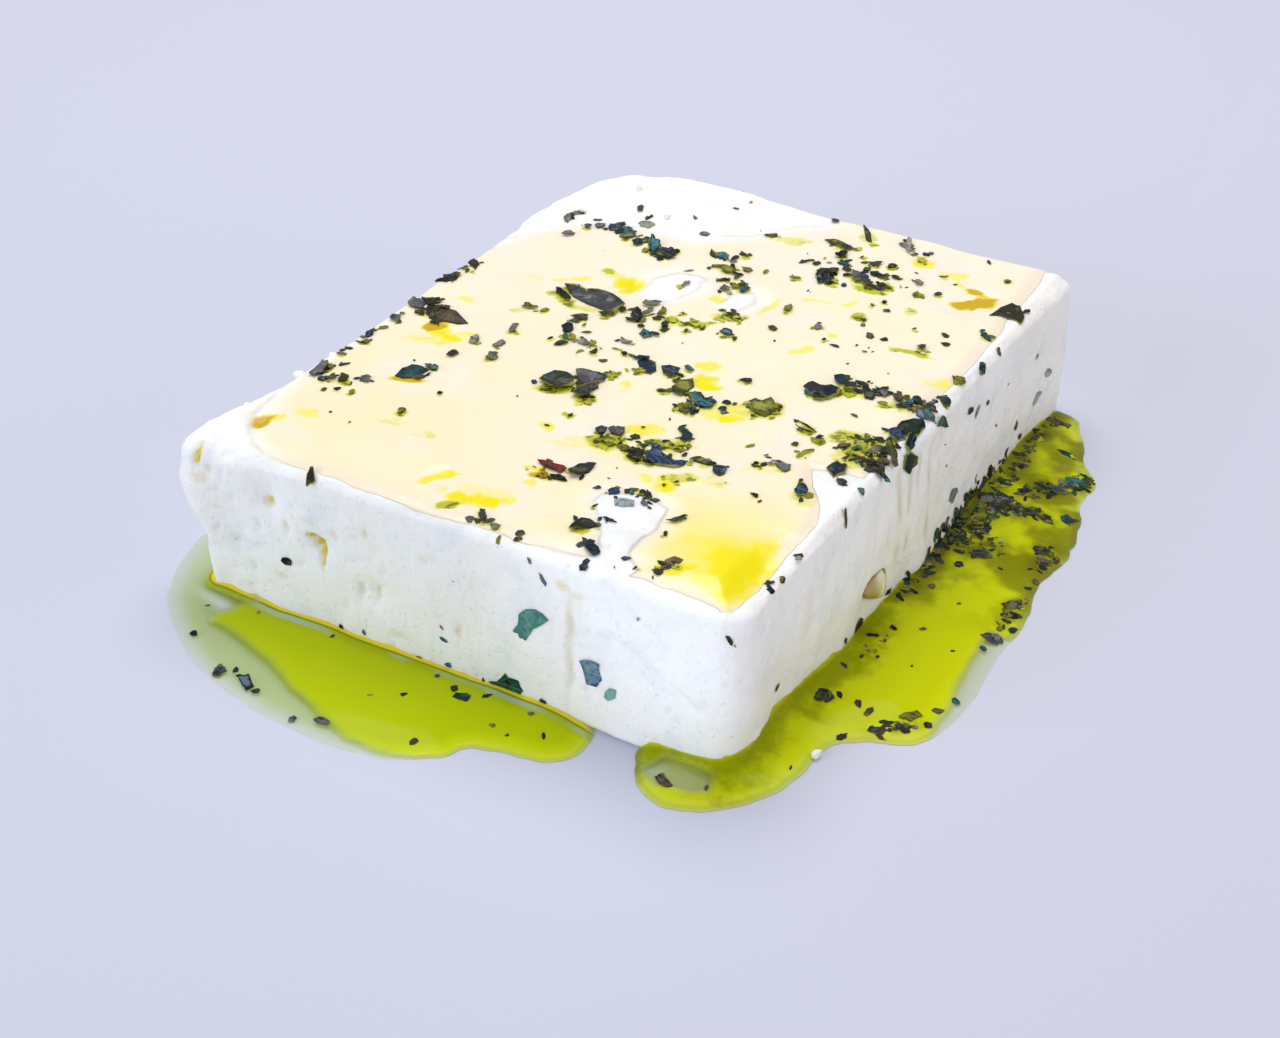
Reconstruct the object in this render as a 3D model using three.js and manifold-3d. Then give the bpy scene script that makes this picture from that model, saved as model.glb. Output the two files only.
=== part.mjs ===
// A slab of feta, dressed with olive oil and dried oregano, with the two shallow pools of oil that ran
// off its top and lie against its foot. Millimetres, +Z up. The origin is the middle of the slab's base,
// and the short side faces -Y.
import * as THREE from "three";
import { mergeVertices } from "three/addons/utils/BufferGeometryUtils.js";
import Module from "manifold-3d";

// Driving dimensions of the slab
const WIDTH = 80; // along X
const LENGTH = 105; // along Y
const HEIGHT = 23;
const FOOT_ROUND = 0.7; // how far the foot is worn back
const CORNERS = { frontLeft: 2.5, frontRight: 4.5, backRight: 2, backLeft: 14 }; // plan radii

// Size and depth of the two scales of roughness in the curd
const LUMP = { size: 13, top: 0.22, side: 0.55 };
const CRUMB = { size: 4.6, top: 0.12, side: 0.3 };

// Mesh steps of the slab
const STEPS_X = 31;
const STEPS_Y = 41;
const SIDE_STEPS = 7;
const EDGE_STEPS = 3;

// Driving dimensions of the oil pools
const POOL_DEPTH = 1.1;
const POOL_RIM = 1.6; // how far in from its edge a pool reaches full depth
const POOL_GAP = 0.35; // between a pool and the slab
const POOL_STEPS = 72; // points round its outline

// Scraps of dried leaf
const LEAF_DEPTH = 1.0; // a scrap's whole thickness, most of which is sunk in what it lies on
const LEAF_PROUD = 0.4; // what stands above
const FLOAT = 0.1; // how much lower it lies in a pool
const SMALLEST_LEAF = 1.9; // shorter scraps are too fine for the solid
const SLIVER = 0.02; // detail finer than this is left out where solids meet
const HUSK = { y: -16, z: 6.1, length: 7, width: 3.8, depth: 2.2, turn: -26 }; // on the face at +X

// Hollows and crests of the slab's top: x, y, reach along x and y, and rise
const TOP_MARKS = [
  [35, -44, 5.2, 6.5, -1.3], // the deepest basin, at the front corner
  [-0.8, -47, 2.6, 2.2, -0.9],
  [-7, -44.3, 1.3, 1.5, -0.4],
  [-34.4, -44.3, 1.4, 2.4, -0.8],
  [-30.2, -11.2, 1.7, 1.7, -0.8],
  [-27.3, -12.8, 2.2, 1.3, -0.8],
  [-13.8, 15, 1.6, 2.4, -0.9],
  [-17.5, 17, 2.2, 1.2, -0.5],
  [31.6, 36.2, 2, 2.4, -0.9],
  [29.8, 33.4, 1.7, 1.9, -0.9],
  [25.8, 42.3, 1.7, 2.2, -0.5],
  [15.8, -12, 2.3, 2, -0.6],
  [10, -5.6, 1.7, 1.5, -0.6],
  [6.6, 19.5, 1.1, 3.3, -0.4],
  [-22, 44, 16, 10, 1.6], // the dry hump at the back corner
  [-39, -44, 3, 6, 0.6],
  [16.5, -39, 2.8, 2.8, 0.6], // the dry ridge near the front edge
  [20, -46, 2, 4, 0.6],
  [37, -23, 2.8, 5, 0.6],
  [-6, 19, 3.4, 2.8, 0.7],
  [2.3, 17.6, 1.6, 1.8, 0.6],
];

// Bulges and pits of the upright faces: x, y, z, reach and rise
const SIDE_MARKS = [
  [-40, -46, 20, 7, 2.4], // the left corner leans out
  [-41, -53, 17, 6, 1.4],
  [-40, -12, 20, 17, -1.8], // the left edge is broken away
  [-40, 29, 21, 6, 1.2],
  [26, -52, 1, 7, 1.3], // the foot spreads near the front corner
  [-20.3, -52, 13, 1.9, -1.1],
  [-28, -52, 17, 2.1, -0.8],
  [-12.8, -52, 8.2, 2.2, -0.8],
  [-37.5, -52, 20, 2.4, -0.9],
  [16.5, -52, 12, 3.4, -0.6],
  [40, -38, 1.5, 9, -1.4],
  [40, 50, 14, 10, 0.9],
];

// Single scraps on the top, by their colour: x, y, length, width, and turn in degrees from +X
const LEAVES = {
  slate: [
    [-15.6, 7.6, 8.5, 4, -20], [-7.9, 10.3, 2.9, 2.3, 20], [-36.5, -7, 3.7, 2.8, -45], [-5.2, -12.4, 2.9, 2.2, -40],
    [-3, -12, 2.8, 1.7, 20], [6.2, -23.5, 2.8, 1.9, -65], [16.2, -38.4, 2.4, 2, 15], [3, -49.4, 3, 1.4, -40],
    [13.4, 34, 4.4, 1.9, -50], [28.6, -20, 3.3, 1.7, -25], [-36.3, -30.2, 4.4, 1.9, -75],
  ],
  navy: [
    [-14, -2.4, 5, 2.5, -60], [-37, -17.6, 4.2, 1.9, -65], [4.1, -5.1, 3.5, 2.2, -50], [14.2, -25.8, 5.2, 2.6, -25],
    [17, -26.2, 2.8, 1.5, 20], [22.4, -25.2, 2.4, 1.7, 80], [34.6, -16.8, 3.5, 2.2, -55], [33.4, -24.4, 3.2, 1.7, -60],
    [17.9, -49, 4.2, 1.6, -40], [5.4, 8.2, 2.7, 2, 0], [-19.9, 27, 3, 1.9, -70], [24.2, 0.2, 4.6, 2.4, 0],
  ],
  teal: [
    [-25.4, -23.8, 5, 3.6, 60], [-4, 2.2, 3.1, 1.7, -50], [0.9, -6, 4.2, 2.5, -50], [12.4, -10.7, 2.8, 1.8, -60],
    [14.3, -19.6, 3.9, 2, -55], [-24.4, 29.8, 4, 1.8, -55], [-17.2, 27, 5.6, 2.4, -60], [-6.6, 29.6, 3, 2.4, 30],
    [1.2, 21.6, 2.9, 1.6, 75], [36.8, 26.2, 3, 1.2, -40], [25.2, 4.2, 3, 1.8, -30], [39, 1.4, 3.4, 1.8, -50],
    [38.2, -2.6, 5, 3.6, -60],
  ],
  olive: [
    [-21.8, 0.5, 3, 1.5, 10], [-32.1, -30.2, 2.7, 1.9, -50], [-2.4, -17.4, 3.5, 1.6, -42], [7.7, -8.6, 3.8, 2.3, -60],
    [10.8, -13.7, 3.2, 1.6, -55], [19.4, -7.9, 4.6, 3.6, -45], [14.8, -23.2, 3.2, 1.3, -25], [38.2, -8.6, 3.4, 2.2, -60],
    [-4, 26, 3, 2.3, -30], [3.8, 13.3, 3.8, 1.8, -25], [6.8, 42.3, 5.6, 1.8, -12], [8.4, 48.2, 6.4, 1.2, -55],
    [23.3, 33, 2.6, 1.7, -50], [30.6, 18.3, 2.6, 1.5, -70], [38.8, 12.6, 2.8, 1.8, -60],
  ],
  dark: [
    [-20.2, 6.4, 5, 1.9, -40], [-7.9, 6.4, 5, 1.8, -60], [-7.8, -16.4, 5.2, 3.5, -25], [7.3, -34, 3.7, 2, 50],
    [6.3, -37, 3, 1.2, -10], [17.8, -35.2, 3, 1.4, -60], [14.4, -45.2, 3.6, 2.4, 40], [-14, 25.6, 3.7, 3, -20],
    [9.8, 31.6, 5.4, 2.6, -65], [29.8, 2.2, 3.3, 1.5, -50], [23.4, -38.2, 2.6, 1.1, 50],
  ],
  brown: [
    [-14.3, 1.6, 2.7, 1.9, 35], [-30.5, -7.8, 5.2, 2.3, -35], [-33.8, -7.6, 4.6, 1.3, -55], [-3, -14.7, 2.8, 1.6, 15],
    [38.6, -13.6, 3.6, 2.4, -10], [27.5, -46.8, 3.5, 2.3, 70], [-37, 8.6, 4, 1.9, -60], [16.4, 32, 3.2, 2, -30],
    [37.2, 34.5, 5.4, 3.5, -8], [34, 3, 3.3, 1.3, -70], [36.4, 3.6, 3, 1.4, -45], [4.2, -34.9, 4, 1.2, -4],
  ],
  pale: [
    [-23.6, -11.4, 3, 1.4, -70], [-18.6, -14.6, 2.6, 1.7, 0], [-20.6, -6.4, 2.5, 1.3, -75], [-33.8, 29.6, 4, 1.4, -60],
    [22, 36.8, 2.9, 1.4, -50], [15.6, 47.4, 5, 1.3, -65],
  ],
};

// Scatters of smaller scraps on the top: x, y, spread along x and y, how many, and their longest size
const SCATTERS = [
  [37.6, -11.5, 3, 3, 14, 2.6],
  [31.5, 3.4, 7, 1.8, 12, 2.5],
  [39, 5, 1, 4, 5, 2.6],
  [-1.5, 24.5, 4.5, 5, 8, 2.6],
  [-5, 5.5, 4, 4, 6, 2.1],
  [12, -25, 4, 3.4, 12, 2.1],
  [12.5, -11, 5, 3.6, 9, 2.1],
  [13, 37, 8, 5, 12, 2.6],
  [-36.6, -20, 1, 6, 5, 2.4],
  [-33, -30.5, 4.6, 3.4, 7, 2.1],
  [-28, 29, 7, 5, 6, 2.6],
  [-8, -5, 6, 4, 8, 2.4],
  [-6, -15, 4, 3, 7, 2.2],
  [39.4, -41, 0.5, 6, 6, 2.2],
  [6, -50.4, 4.5, 0.6, 5, 1.8],
  [15, -37, 4.5, 5, 9, 1.5],
  [24, 20, 11, 9, 9, 1.9],
  [28, -24, 8, 7, 8, 1.7],
  [0, 0, 37, 49, 60, 1.5],
];

// Scraps on the upright faces: x, y, z, length, width, and turn in degrees from level
const SIDE_LEAVES = [
  [12, -52.5, 12.7, 5, 3.6, 48],
  [19.9, -52.5, 8.6, 3.2, 2.7, -60],
  [22.9, -52.5, 6.3, 2.1, 1.4, 45],
  [-25.8, -52.5, 9, 2, 1.4, 10],
  [8.2, -52.5, 3.2, 5, 3, 20],
  [13.5, -52.5, 20, 2, 0.9, -65],
  [40, 11.4, 6.5, 5.4, 1.6, -20],
  [40, 17, 16.8, 3.4, 1.3, -32],
  [40, 42.8, 6.8, 3.2, 2.4, -30],
  [40, 34.6, 5.6, 3.4, 2, -40],
  [40, 45.5, 10, 5, 1.4, -25],
];

// Scraps folded over the top's edge: x, y, lean of the edge there, length, width, and turn from level
const EDGE_LEAVES = [
  [40, -5.2, 50, 4.4, 1.9, 20],
  [40, -10.4, 45, 4.2, 1.9, 25],
  [40, 6.4, 55, 2.6, 1.7, 20],
  [40, 18.6, 45, 2.8, 1.4, 25],
  [40, -28.8, 50, 4.4, 0.6, -50],
  [-20.9, -52.5, 55, 3.4, 1.3, -60],
  [18.9, -52.5, 60, 1.9, 1.4, 0],
];

// Outlines of the pools, from where each leaves the slab's foot round its free edge
const LEFT_POOL = [
  [-36, -8], [-41.5, -7], [-45.5, -18], [-48, -32], [-48, -45], [-44, -55], [-36, -63], [-24, -69],
  [-10, -71.5], [1, -70.5], [7.5, -67], [9.5, -63.6], [13.5, -62], [19, -61], [21.4, -57.5], [19, -50], [-20, -44],
];
const RIGHT_POOL = [
  [27, -50], [28.6, -56.5], [33.5, -61], [39, -59.6], [44, -54.5], [46, -48], [46.6, -41], [50.5, -37.6],
  [56, -34.4], [57.8, -26], [57, -13], [57.4, -4], [55.8, 4], [56.6, 14], [55, 22], [53, 28.6], [53, 34],
  [49.6, 38.6], [47.4, 44], [44, 50.4], [40.5, 51.6], [36, 44], [33, 0], [33, -40],
];

// Scraps that float on the pools: x, y, length, width, and turn in degrees from +X
const LEFT_FLOATERS = [
  [4, -56.6, 2.8, 2, 20],
  [-21.5, -67, 3.6, 2, -20],
  [8, -64, 2.4, 1.7, 40],
  [-8.5, -68.6, 2.6, 1.6, 10],
];
const RIGHT_FLOATERS = [
  [42, 20.6, 3.2, 2.4, 60], [43.9, 19.4, 3.2, 2.2, 10], [46, 20.6, 3, 2, -30], [42.6, 15.4, 3.2, 2.2, 80],
  [44.3, 12, 2.8, 2, 20], [42.6, 8.8, 3, 2, 70], [46.4, 6.8, 4.2, 2, -15], [45.4, 25.4, 3.4, 2.2, 30],
  [47.2, 27.8, 3.2, 1.9, -20], [49.4, 29, 3.4, 2, 15], [50.6, 32.6, 3.4, 2.2, 40], [50.4, 20.2, 3.4, 2, -20],
  [53, 22.2, 3, 2.2, -60], [46.8, 39.6, 3.2, 1.6, 0], [42.4, 47.6, 3.2, 2.2, 20], [52.6, 12.6, 3.2, 2.4, 60],
  [54.2, 10, 2.8, 1.8, 10], [54.4, -2, 3.6, 2.4, 70], [55, -10, 2.8, 2.2, 0], [53, -31, 3, 2, 30],
  [50.6, -35.2, 3.2, 1.8, 20], [42.4, -33.2, 3.4, 2.2, -70], [33, -57.4, 3, 1.7, -20],
];

// A number from 0 to 1 for each whole number, always the same
function draw(n) {
  const s = Math.sin(n * 12.9898 + 4.1414) * 43758.5453;
  return s - Math.floor(s);
}

// Smooth noise from -1 to 1, whose bumps are about `size` across
function noise(p, size) {
  const cell = p.map((c) => Math.floor(c / size));
  const part = p.map((c, i) => c / size - cell[i]);
  const ease = part.map((t) => t * t * (3 - 2 * t));
  let sum = 0;
  for (let corner = 0; corner < 8; corner++) {
    const step = [corner & 1, (corner >> 1) & 1, corner >> 2];
    const at = cell.map((c, i) => c + step[i]);
    const weight = ease.reduce((w, e, i) => w * (step[i] ? e : 1 - e), 1);
    sum += weight * draw(at[0] * 7.31 + at[1] * 17.17 + at[2] * 29.53);
  }
  return 2 * sum - 1;
}

// How strongly a mark with these reaches acts at a distance from its middle: 1 there, 0 far off
function falloff(...ratios) {
  return Math.exp(-ratios.reduce((sum, r) => sum + r * r, 0));
}

// The curd's relief at a point of the plain slab, along the normal there. `up` is 0 on an upright face
// and 1 on the top.
function relief([x, y, z], up) {
  let rise = 0;
  for (const { size, top, side } of [LUMP, CRUMB]) {
    rise += noise([x, y, z], size) * (side + (top - side) * up);
  }
  for (const [mx, my, rx, ry, high] of TOP_MARKS) {
    rise += up * high * falloff((x - mx) / rx, (y - my) / ry);
  }
  for (const [mx, my, mz, reach, high] of SIDE_MARKS) {
    rise += (1 - up) * high * falloff((x - mx) / reach, (y - my) / reach, (z - mz) / reach);
  }
  return rise;
}

// The radius of the top's edge, which is crisp at the front and worn elsewhere
function edgeRadius(x, y) {
  const front = Math.min(1, Math.max(0, -y / 8 - 5.5));
  const left = Math.min(1, Math.max(0, -x / 20 - 1));
  return 2 - 0.6 * front + 0.5 * left + 0.4 * noise([x, y, 50], 7);
}

// A point of the slab's plan outline and its outward normal, from a point of the sharp rectangle
function outline(x, y) {
  const front = y < 0;
  const key = front ? (x < 0 ? "frontLeft" : "frontRight") : x < 0 ? "backLeft" : "backRight";
  const r = CORNERS[key];
  const centre = [Math.sign(x) * (WIDTH / 2 - r), Math.sign(y) * (LENGTH / 2 - r)];
  const past = [(x - centre[0]) * Math.sign(x), (y - centre[1]) * Math.sign(y)];
  if (past[0] > 0 && past[1] > 0) {
    const d = Math.hypot(...past);
    const normal = [(Math.sign(x) * past[0]) / d, (Math.sign(y) * past[1]) / d];
    return { point: [centre[0] + normal[0] * r, centre[1] + normal[1] * r], normal };
  }
  const onEnd = Math.abs(y) > LENGTH / 2 - 1e-6;
  return { point: [x, y], normal: onEnd ? [0, Math.sign(y)] : [Math.sign(x), 0] };
}

// A place on the slab's rim, from a point of the sharp rectangle: its plan point, normal and edge radius
function rimAt(x, y) {
  return { ...outline(x, y), radius: edgeRadius(x, y) };
}

// The rectangle's points in turn: front, right, back, left
function rectangle() {
  const points = [];
  const [w, l] = [WIDTH / 2, LENGTH / 2];
  for (let i = 0; i < STEPS_X; i++) points.push([-w + (WIDTH * i) / STEPS_X, -l]);
  for (let j = 0; j < STEPS_Y; j++) points.push([w, -l + (LENGTH * j) / STEPS_Y]);
  for (let i = 0; i < STEPS_X; i++) points.push([w - (WIDTH * i) / STEPS_X, l]);
  for (let j = 0; j < STEPS_Y; j++) points.push([-w, l - (LENGTH * j) / STEPS_Y]);
  return points;
}

// A place on the round top edge, where the skin leans by so many degrees from upright
function edgePoint(point, normal, radius, lean, outset = 0) {
  const a = (lean * Math.PI) / 180;
  const inset = radius * (1 - Math.cos(a)) - outset;
  const at = point.map((c, i) => c - normal[i] * inset);
  return { at, z: HEIGHT - radius * (1 - Math.sin(a)), up: Math.sin(a) ** 2, normal };
}

// The rings of the slab's skin, from the foot up the side and over the edge to the top: for each point
// its place on the plain slab, its outward normal and how far it faces up
function rings(outset) {
  const around = rectangle().map(([x, y]) => rimAt(x, y));
  const ring = (place) =>
    around.map(({ point, normal, radius }) => {
      const { inset, z, up } = place(radius);
      return { at: point.map((c, i) => c - normal[i] * (inset - outset)), z, up, normal };
    });
  const made = [ring(() => ({ inset: FOOT_ROUND, z: 0, up: 0 }))];
  for (let k = 0; k <= SIDE_STEPS; k++) {
    made.push(ring((r) => ({ inset: 0, z: 1 + ((HEIGHT - r - 1) * k) / SIDE_STEPS, up: 0 })));
  }
  for (let k = 1; k <= EDGE_STEPS; k++) {
    const lean = (90 * k) / EDGE_STEPS;
    made.push(around.map(({ point, normal, radius }) => edgePoint(point, normal, radius, lean, outset)));
  }
  return made;
}

// A point of the skin pushed out by the relief there
function carved({ at, z, up, normal }) {
  const rise = relief([...at, z], up);
  const flat = Math.sqrt(1 - up);
  const foot = z === 0 ? 0 : Math.sqrt(up);
  return [at[0] + normal[0] * rise * flat, at[1] + normal[1] * rise * flat, z + rise * foot];
}

// The slab's skin as a closed geometry. `outset` moves its upright faces out, for a cutter.
function slabGeometry(outset = 0) {
  const skin = rings(outset);
  const around = skin[0].length;
  const points = [];
  const triangles = [];
  const quad = (a, b, c, d) => triangles.push(a, b, c, a, c, d);
  skin.forEach((ring) => ring.forEach((p) => points.push(carved(p))));
  for (let k = 0; k + 1 < skin.length; k++) {
    for (let i = 0; i < around; i++) {
      const j = (i + 1) % around;
      quad(k * around + i, k * around + j, (k + 1) * around + j, (k + 1) * around + i);
    }
  }

  // The top: a net stretched between the four sides of the last ring
  const rim = skin[skin.length - 1].map((p) => p.at);
  const rimIndex = (i, j) => {
    if (j === 0) return i;
    if (i === STEPS_X) return STEPS_X + j;
    if (j === STEPS_Y) return STEPS_X + STEPS_Y + (STEPS_X - i);
    return (2 * STEPS_X + STEPS_Y + (STEPS_Y - j)) % around;
  };
  const start = (skin.length - 1) * around;
  const net = [];
  for (let j = 0; j <= STEPS_Y; j++) {
    for (let i = 0; i <= STEPS_X; i++) {
      if (i === 0 || j === 0 || i === STEPS_X || j === STEPS_Y) {
        net.push(start + rimIndex(i, j));
        continue;
      }
      const [u, v] = [i / STEPS_X, j / STEPS_Y];
      const at = [0, 1].map((c) => {
        const [f, b] = [rim[rimIndex(i, 0)][c], rim[rimIndex(i, STEPS_Y)][c]];
        const [l, r] = [rim[rimIndex(0, j)][c], rim[rimIndex(STEPS_X, j)][c]];
        const [fl, fr] = [rim[rimIndex(0, 0)][c], rim[rimIndex(STEPS_X, 0)][c]];
        const [bl, br] = [rim[rimIndex(0, STEPS_Y)][c], rim[rimIndex(STEPS_X, STEPS_Y)][c]];
        const corners = (1 - u) * (1 - v) * fl + u * (1 - v) * fr + (1 - u) * v * bl + u * v * br;
        return (1 - v) * f + v * b + (1 - u) * l + u * r - corners;
      });
      net.push(points.length);
      points.push(carved({ at, z: HEIGHT, up: 1, normal: [0, 0] }));
    }
  }
  const row = STEPS_X + 1;
  for (let j = 0; j < STEPS_Y; j++) {
    for (let i = 0; i < STEPS_X; i++) {
      const a = j * row + i;
      quad(net[a], net[a + 1], net[a + row + 1], net[a + row]);
    }
  }

  // The flat base
  const foot = points.slice(0, around).map(([x, y]) => new THREE.Vector2(x, y));
  for (const [a, b, c] of THREE.ShapeUtils.triangulateShape(foot, [])) triangles.push(a, c, b);
  return new THREE.BufferGeometry()
    .setAttribute("position", new THREE.Float32BufferAttribute(points.flat(), 3))
    .setIndex(triangles);
}

// The height of the slab's top at a place in plan
function topAt(x, y) {
  return HEIGHT + relief([x, y, HEIGHT], 1);
}

// A scrap of dried leaf, lying flat on z = 0 about its own middle: six uneven corners round a raised or
// sunken middle, with like triangles above and below
function leafGeometry(length, width, seed) {
  const corners = 6;
  const rimPoint = (i, z) => {
    const a = ((i + 0.35 * draw(seed + i)) / corners) * 2 * Math.PI;
    const r = 0.34 + 0.18 * draw(seed * 1.7 + i * 3.3);
    return [Math.cos(a) * r * length, Math.sin(a) * r * width, z + 0.2 * (draw(seed + 9 * i) - 0.5)];
  };
  const crown = 0.35 * (draw(seed * 2.3) - 0.3);
  const points = [[0, 0, LEAF_PROUD + crown], [0, 0, LEAF_PROUD - LEAF_DEPTH]];
  for (let i = 0; i < corners; i++) points.push(rimPoint(i, LEAF_PROUD));
  for (let i = 0; i < corners; i++) points.push(rimPoint(i, LEAF_PROUD - LEAF_DEPTH));
  const triangles = [];
  for (let i = 0; i < corners; i++) {
    const j = (i + 1) % corners;
    const [a, b, c, d] = [2 + i, 2 + j, 2 + corners + i, 2 + corners + j];
    triangles.push(0, a, b, 1, d, c, a, c, d, a, d, b);
  }
  return new THREE.BufferGeometry()
    .setAttribute("position", new THREE.Float32BufferAttribute(points.flat(), 3))
    .setIndex(triangles);
}

// The scraps of a list of scatters, each as x, y, length, width and turn in degrees
function scattered(scatters, seed) {
  const scraps = [];
  scatters.forEach(([x, y, sx, sy, count, size], s) => {
    for (let i = 0; i < count; i++) {
      const n = seed + s * 61 + i * 7;
      const [a, r] = [2 * Math.PI * draw(n), Math.sqrt(draw(n + 1))];
      const length = size * (0.5 + 0.5 * draw(n + 2));
      const width = length * (0.45 + 0.45 * draw(n + 3));
      scraps.push([x + sx * r * Math.cos(a), y + sy * r * Math.sin(a), length, width, 360 * draw(n + 4)]);
    }
  });
  return scraps;
}

const UP = new THREE.Vector3(0, 0, 1);

const wasm = await Module();
wasm.setup();

// A geometry as a solid, and back
function solid(geometry) {
  const plain = geometry.clone();
  plain.deleteAttribute("normal");
  plain.deleteAttribute("uv");
  const merged = mergeVertices(plain, 1e-4);
  return new wasm.Manifold(
    new wasm.Mesh({
      numProp: 3,
      vertProperties: merged.attributes.position.array,
      triVerts: new Uint32Array(merged.index.array),
    }),
  );
}

function geometryOf(made) {
  const { vertProperties, triVerts } = made.getMesh();
  const geometry = new THREE.BufferGeometry()
    .setAttribute("position", new THREE.BufferAttribute(vertProperties, 3))
    .setIndex(new THREE.BufferAttribute(triVerts, 1));
  geometry.computeVertexNormals();
  return geometry;
}

// A geometry that lies on z = 0, moved to a place on a surface and turned about the normal there. With
// no turn its X lies level.
function laid(geometry, place, normal, turn) {
  const across = Math.abs(normal.z) > 0.99 ? new THREE.Vector3(1, 0, 0) : new THREE.Vector3(-normal.y, normal.x, 0);
  across.normalize();
  const basis = new THREE.Matrix4().makeBasis(across, normal.clone().cross(across), normal);
  return geometry.rotateZ((turn * Math.PI) / 180).applyMatrix4(basis).translate(...place);
}

// Everything that is fused to the slab
function slabToppings() {
  const flat = [...Object.values(LEAVES).flat(), ...scattered(SCATTERS, 100)];
  const top = flat.filter(([x, y, length]) => {
    const inside = Math.abs(x) < WIDTH / 2 - 0.5 && Math.abs(y) < LENGTH / 2 - 2;
    return inside && length >= SMALLEST_LEAF;
  });
  const toppings = top.map(([x, y, length, width, turn], i) =>
    laid(leafGeometry(length, width, 300 + i), new THREE.Vector3(x, y, topAt(x, y)), UP, turn),
  );
  SIDE_LEAVES.forEach(([x, y, z, length, width, turn], i) => {
    const { point, normal } = rimAt(x, y);
    const place = new THREE.Vector3(...carved({ at: point, z, up: 0, normal }));
    toppings.push(laid(leafGeometry(length, width, 600 + i), place, new THREE.Vector3(...normal, 0), turn));
  });
  EDGE_LEAVES.forEach(([x, y, lean, length, width, turn], i) => {
    const { point, normal, radius } = rimAt(x, y);
    const place = new THREE.Vector3(...carved(edgePoint(point, normal, radius, lean)));
    const a = (lean * Math.PI) / 180;
    const face = new THREE.Vector3(normal[0] * Math.cos(a), normal[1] * Math.cos(a), Math.sin(a));
    toppings.push(laid(leafGeometry(length, width, 700 + i), place, face, turn));
  });
  const side = rimAt(WIDTH / 2, HUSK.y);
  const place = new THREE.Vector3(...carved({ at: side.point, z: HUSK.z, up: 0, normal: side.normal }));
  const husk = new THREE.SphereGeometry(0.5, 12, 8).scale(HUSK.length, HUSK.width, HUSK.depth);
  toppings.push(laid(husk, place, new THREE.Vector3(1, 0, 0), HUSK.turn));
  return toppings;
}

function fetaSlab() {
  const fused = slabToppings().reduce((made, topping) => made.add(solid(topping)), solid(slabGeometry()));
  return fused.simplify(SLIVER);
}

// A pool: a low lens with a round rim, cut back from the slab, with its floating scraps
function oilPool(points, floaters, seed) {
  const curve = new THREE.CatmullRomCurve3(
    points.map(([x, y]) => new THREE.Vector3(x, y, 0)),
    true,
    "centripetal",
  );
  const shape = new THREE.Shape(curve.getSpacedPoints(POOL_STEPS).map((p) => new THREE.Vector2(p.x, p.y)));
  const lens = new THREE.ExtrudeGeometry(shape, {
    depth: 0.2,
    bevelThickness: POOL_DEPTH - 0.1,
    bevelSize: POOL_RIM,
    bevelOffset: -POOL_RIM,
    bevelSegments: 3,
  }).translate(0, 0, -0.1);
  const below = new THREE.BoxGeometry(3 * WIDTH, 3 * LENGTH, 10).translate(0, 0, -5);
  let pool = solid(lens).subtract(solid(below));
  floaters.forEach(([x, y, length, width, turn], i) => {
    const scrap = leafGeometry(length, width, seed + i);
    pool = pool.add(solid(laid(scrap, new THREE.Vector3(x, y, POOL_DEPTH - FLOAT), UP, turn)));
  });
  const clear = pool.subtract(solid(slabGeometry(POOL_GAP)));
  return clear.decompose().sort((a, b) => b.volume() - a.volume())[0].simplify(SLIVER);
}

function named(name, made, material) {
  const mesh = new THREE.Mesh(geometryOf(made), material);
  mesh.name = name;
  return mesh;
}

const feta = new THREE.MeshStandardMaterial({ color: 0xf6f3e6, roughness: 0.6, metalness: 0 });
const oil = new THREE.MeshStandardMaterial({
  color: 0xb9bd08,
  roughness: 0.05,
  metalness: 0,
  transparent: true,
  opacity: 0.75,
});

const group = new THREE.Group();
group.name = "feta_with_oil";
group.add(named("feta_slab", fetaSlab(), feta));
group.add(named("oil_pool_left", oilPool(LEFT_POOL, LEFT_FLOATERS, 800), oil));
group.add(named("oil_pool_right", oilPool(RIGHT_POOL, RIGHT_FLOATERS, 900), oil));

export default group;
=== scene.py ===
"""A slab of feta dressed with olive oil and dried oregano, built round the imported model.

Every object is in metres. The tables and shape functions below work in millimetres, in the model's own
frame: the origin is the middle of the slab's base, +Z is up and the short front face looks to -Y.
"""
import math
from collections import defaultdict

import bmesh
import bpy
import numpy as np
from mathutils import Matrix, Vector
from mathutils.geometry import delaunay_2d_cdt


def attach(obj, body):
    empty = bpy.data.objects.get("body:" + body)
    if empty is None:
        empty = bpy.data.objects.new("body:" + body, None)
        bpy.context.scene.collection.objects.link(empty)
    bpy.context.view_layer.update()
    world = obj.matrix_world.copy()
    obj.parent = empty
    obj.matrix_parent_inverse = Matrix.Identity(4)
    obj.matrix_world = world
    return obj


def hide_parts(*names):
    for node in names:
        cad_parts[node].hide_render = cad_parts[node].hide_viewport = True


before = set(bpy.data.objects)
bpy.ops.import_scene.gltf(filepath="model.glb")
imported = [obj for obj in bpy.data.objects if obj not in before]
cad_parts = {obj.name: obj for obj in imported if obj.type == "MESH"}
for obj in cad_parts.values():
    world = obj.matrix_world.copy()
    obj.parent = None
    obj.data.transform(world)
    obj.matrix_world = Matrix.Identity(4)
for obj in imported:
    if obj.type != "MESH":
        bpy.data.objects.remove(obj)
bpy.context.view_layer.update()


# The view. The slab is seen from above its front right corner through a long lens, so its upright
# edges stay almost parallel. The angles and the place are those of the photograph.
CAMERA_PLACE_MM = Vector((130.03, -234.13, 164.11))
CAMERA_PITCH, CAMERA_YAW, CAMERA_ROLL = (math.radians(a) for a in (32.24, -29.67, 0.75))
FOCAL_PIXELS, PICTURE_WIDTH, SENSOR_MM = 2190, 1280, 36

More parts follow.
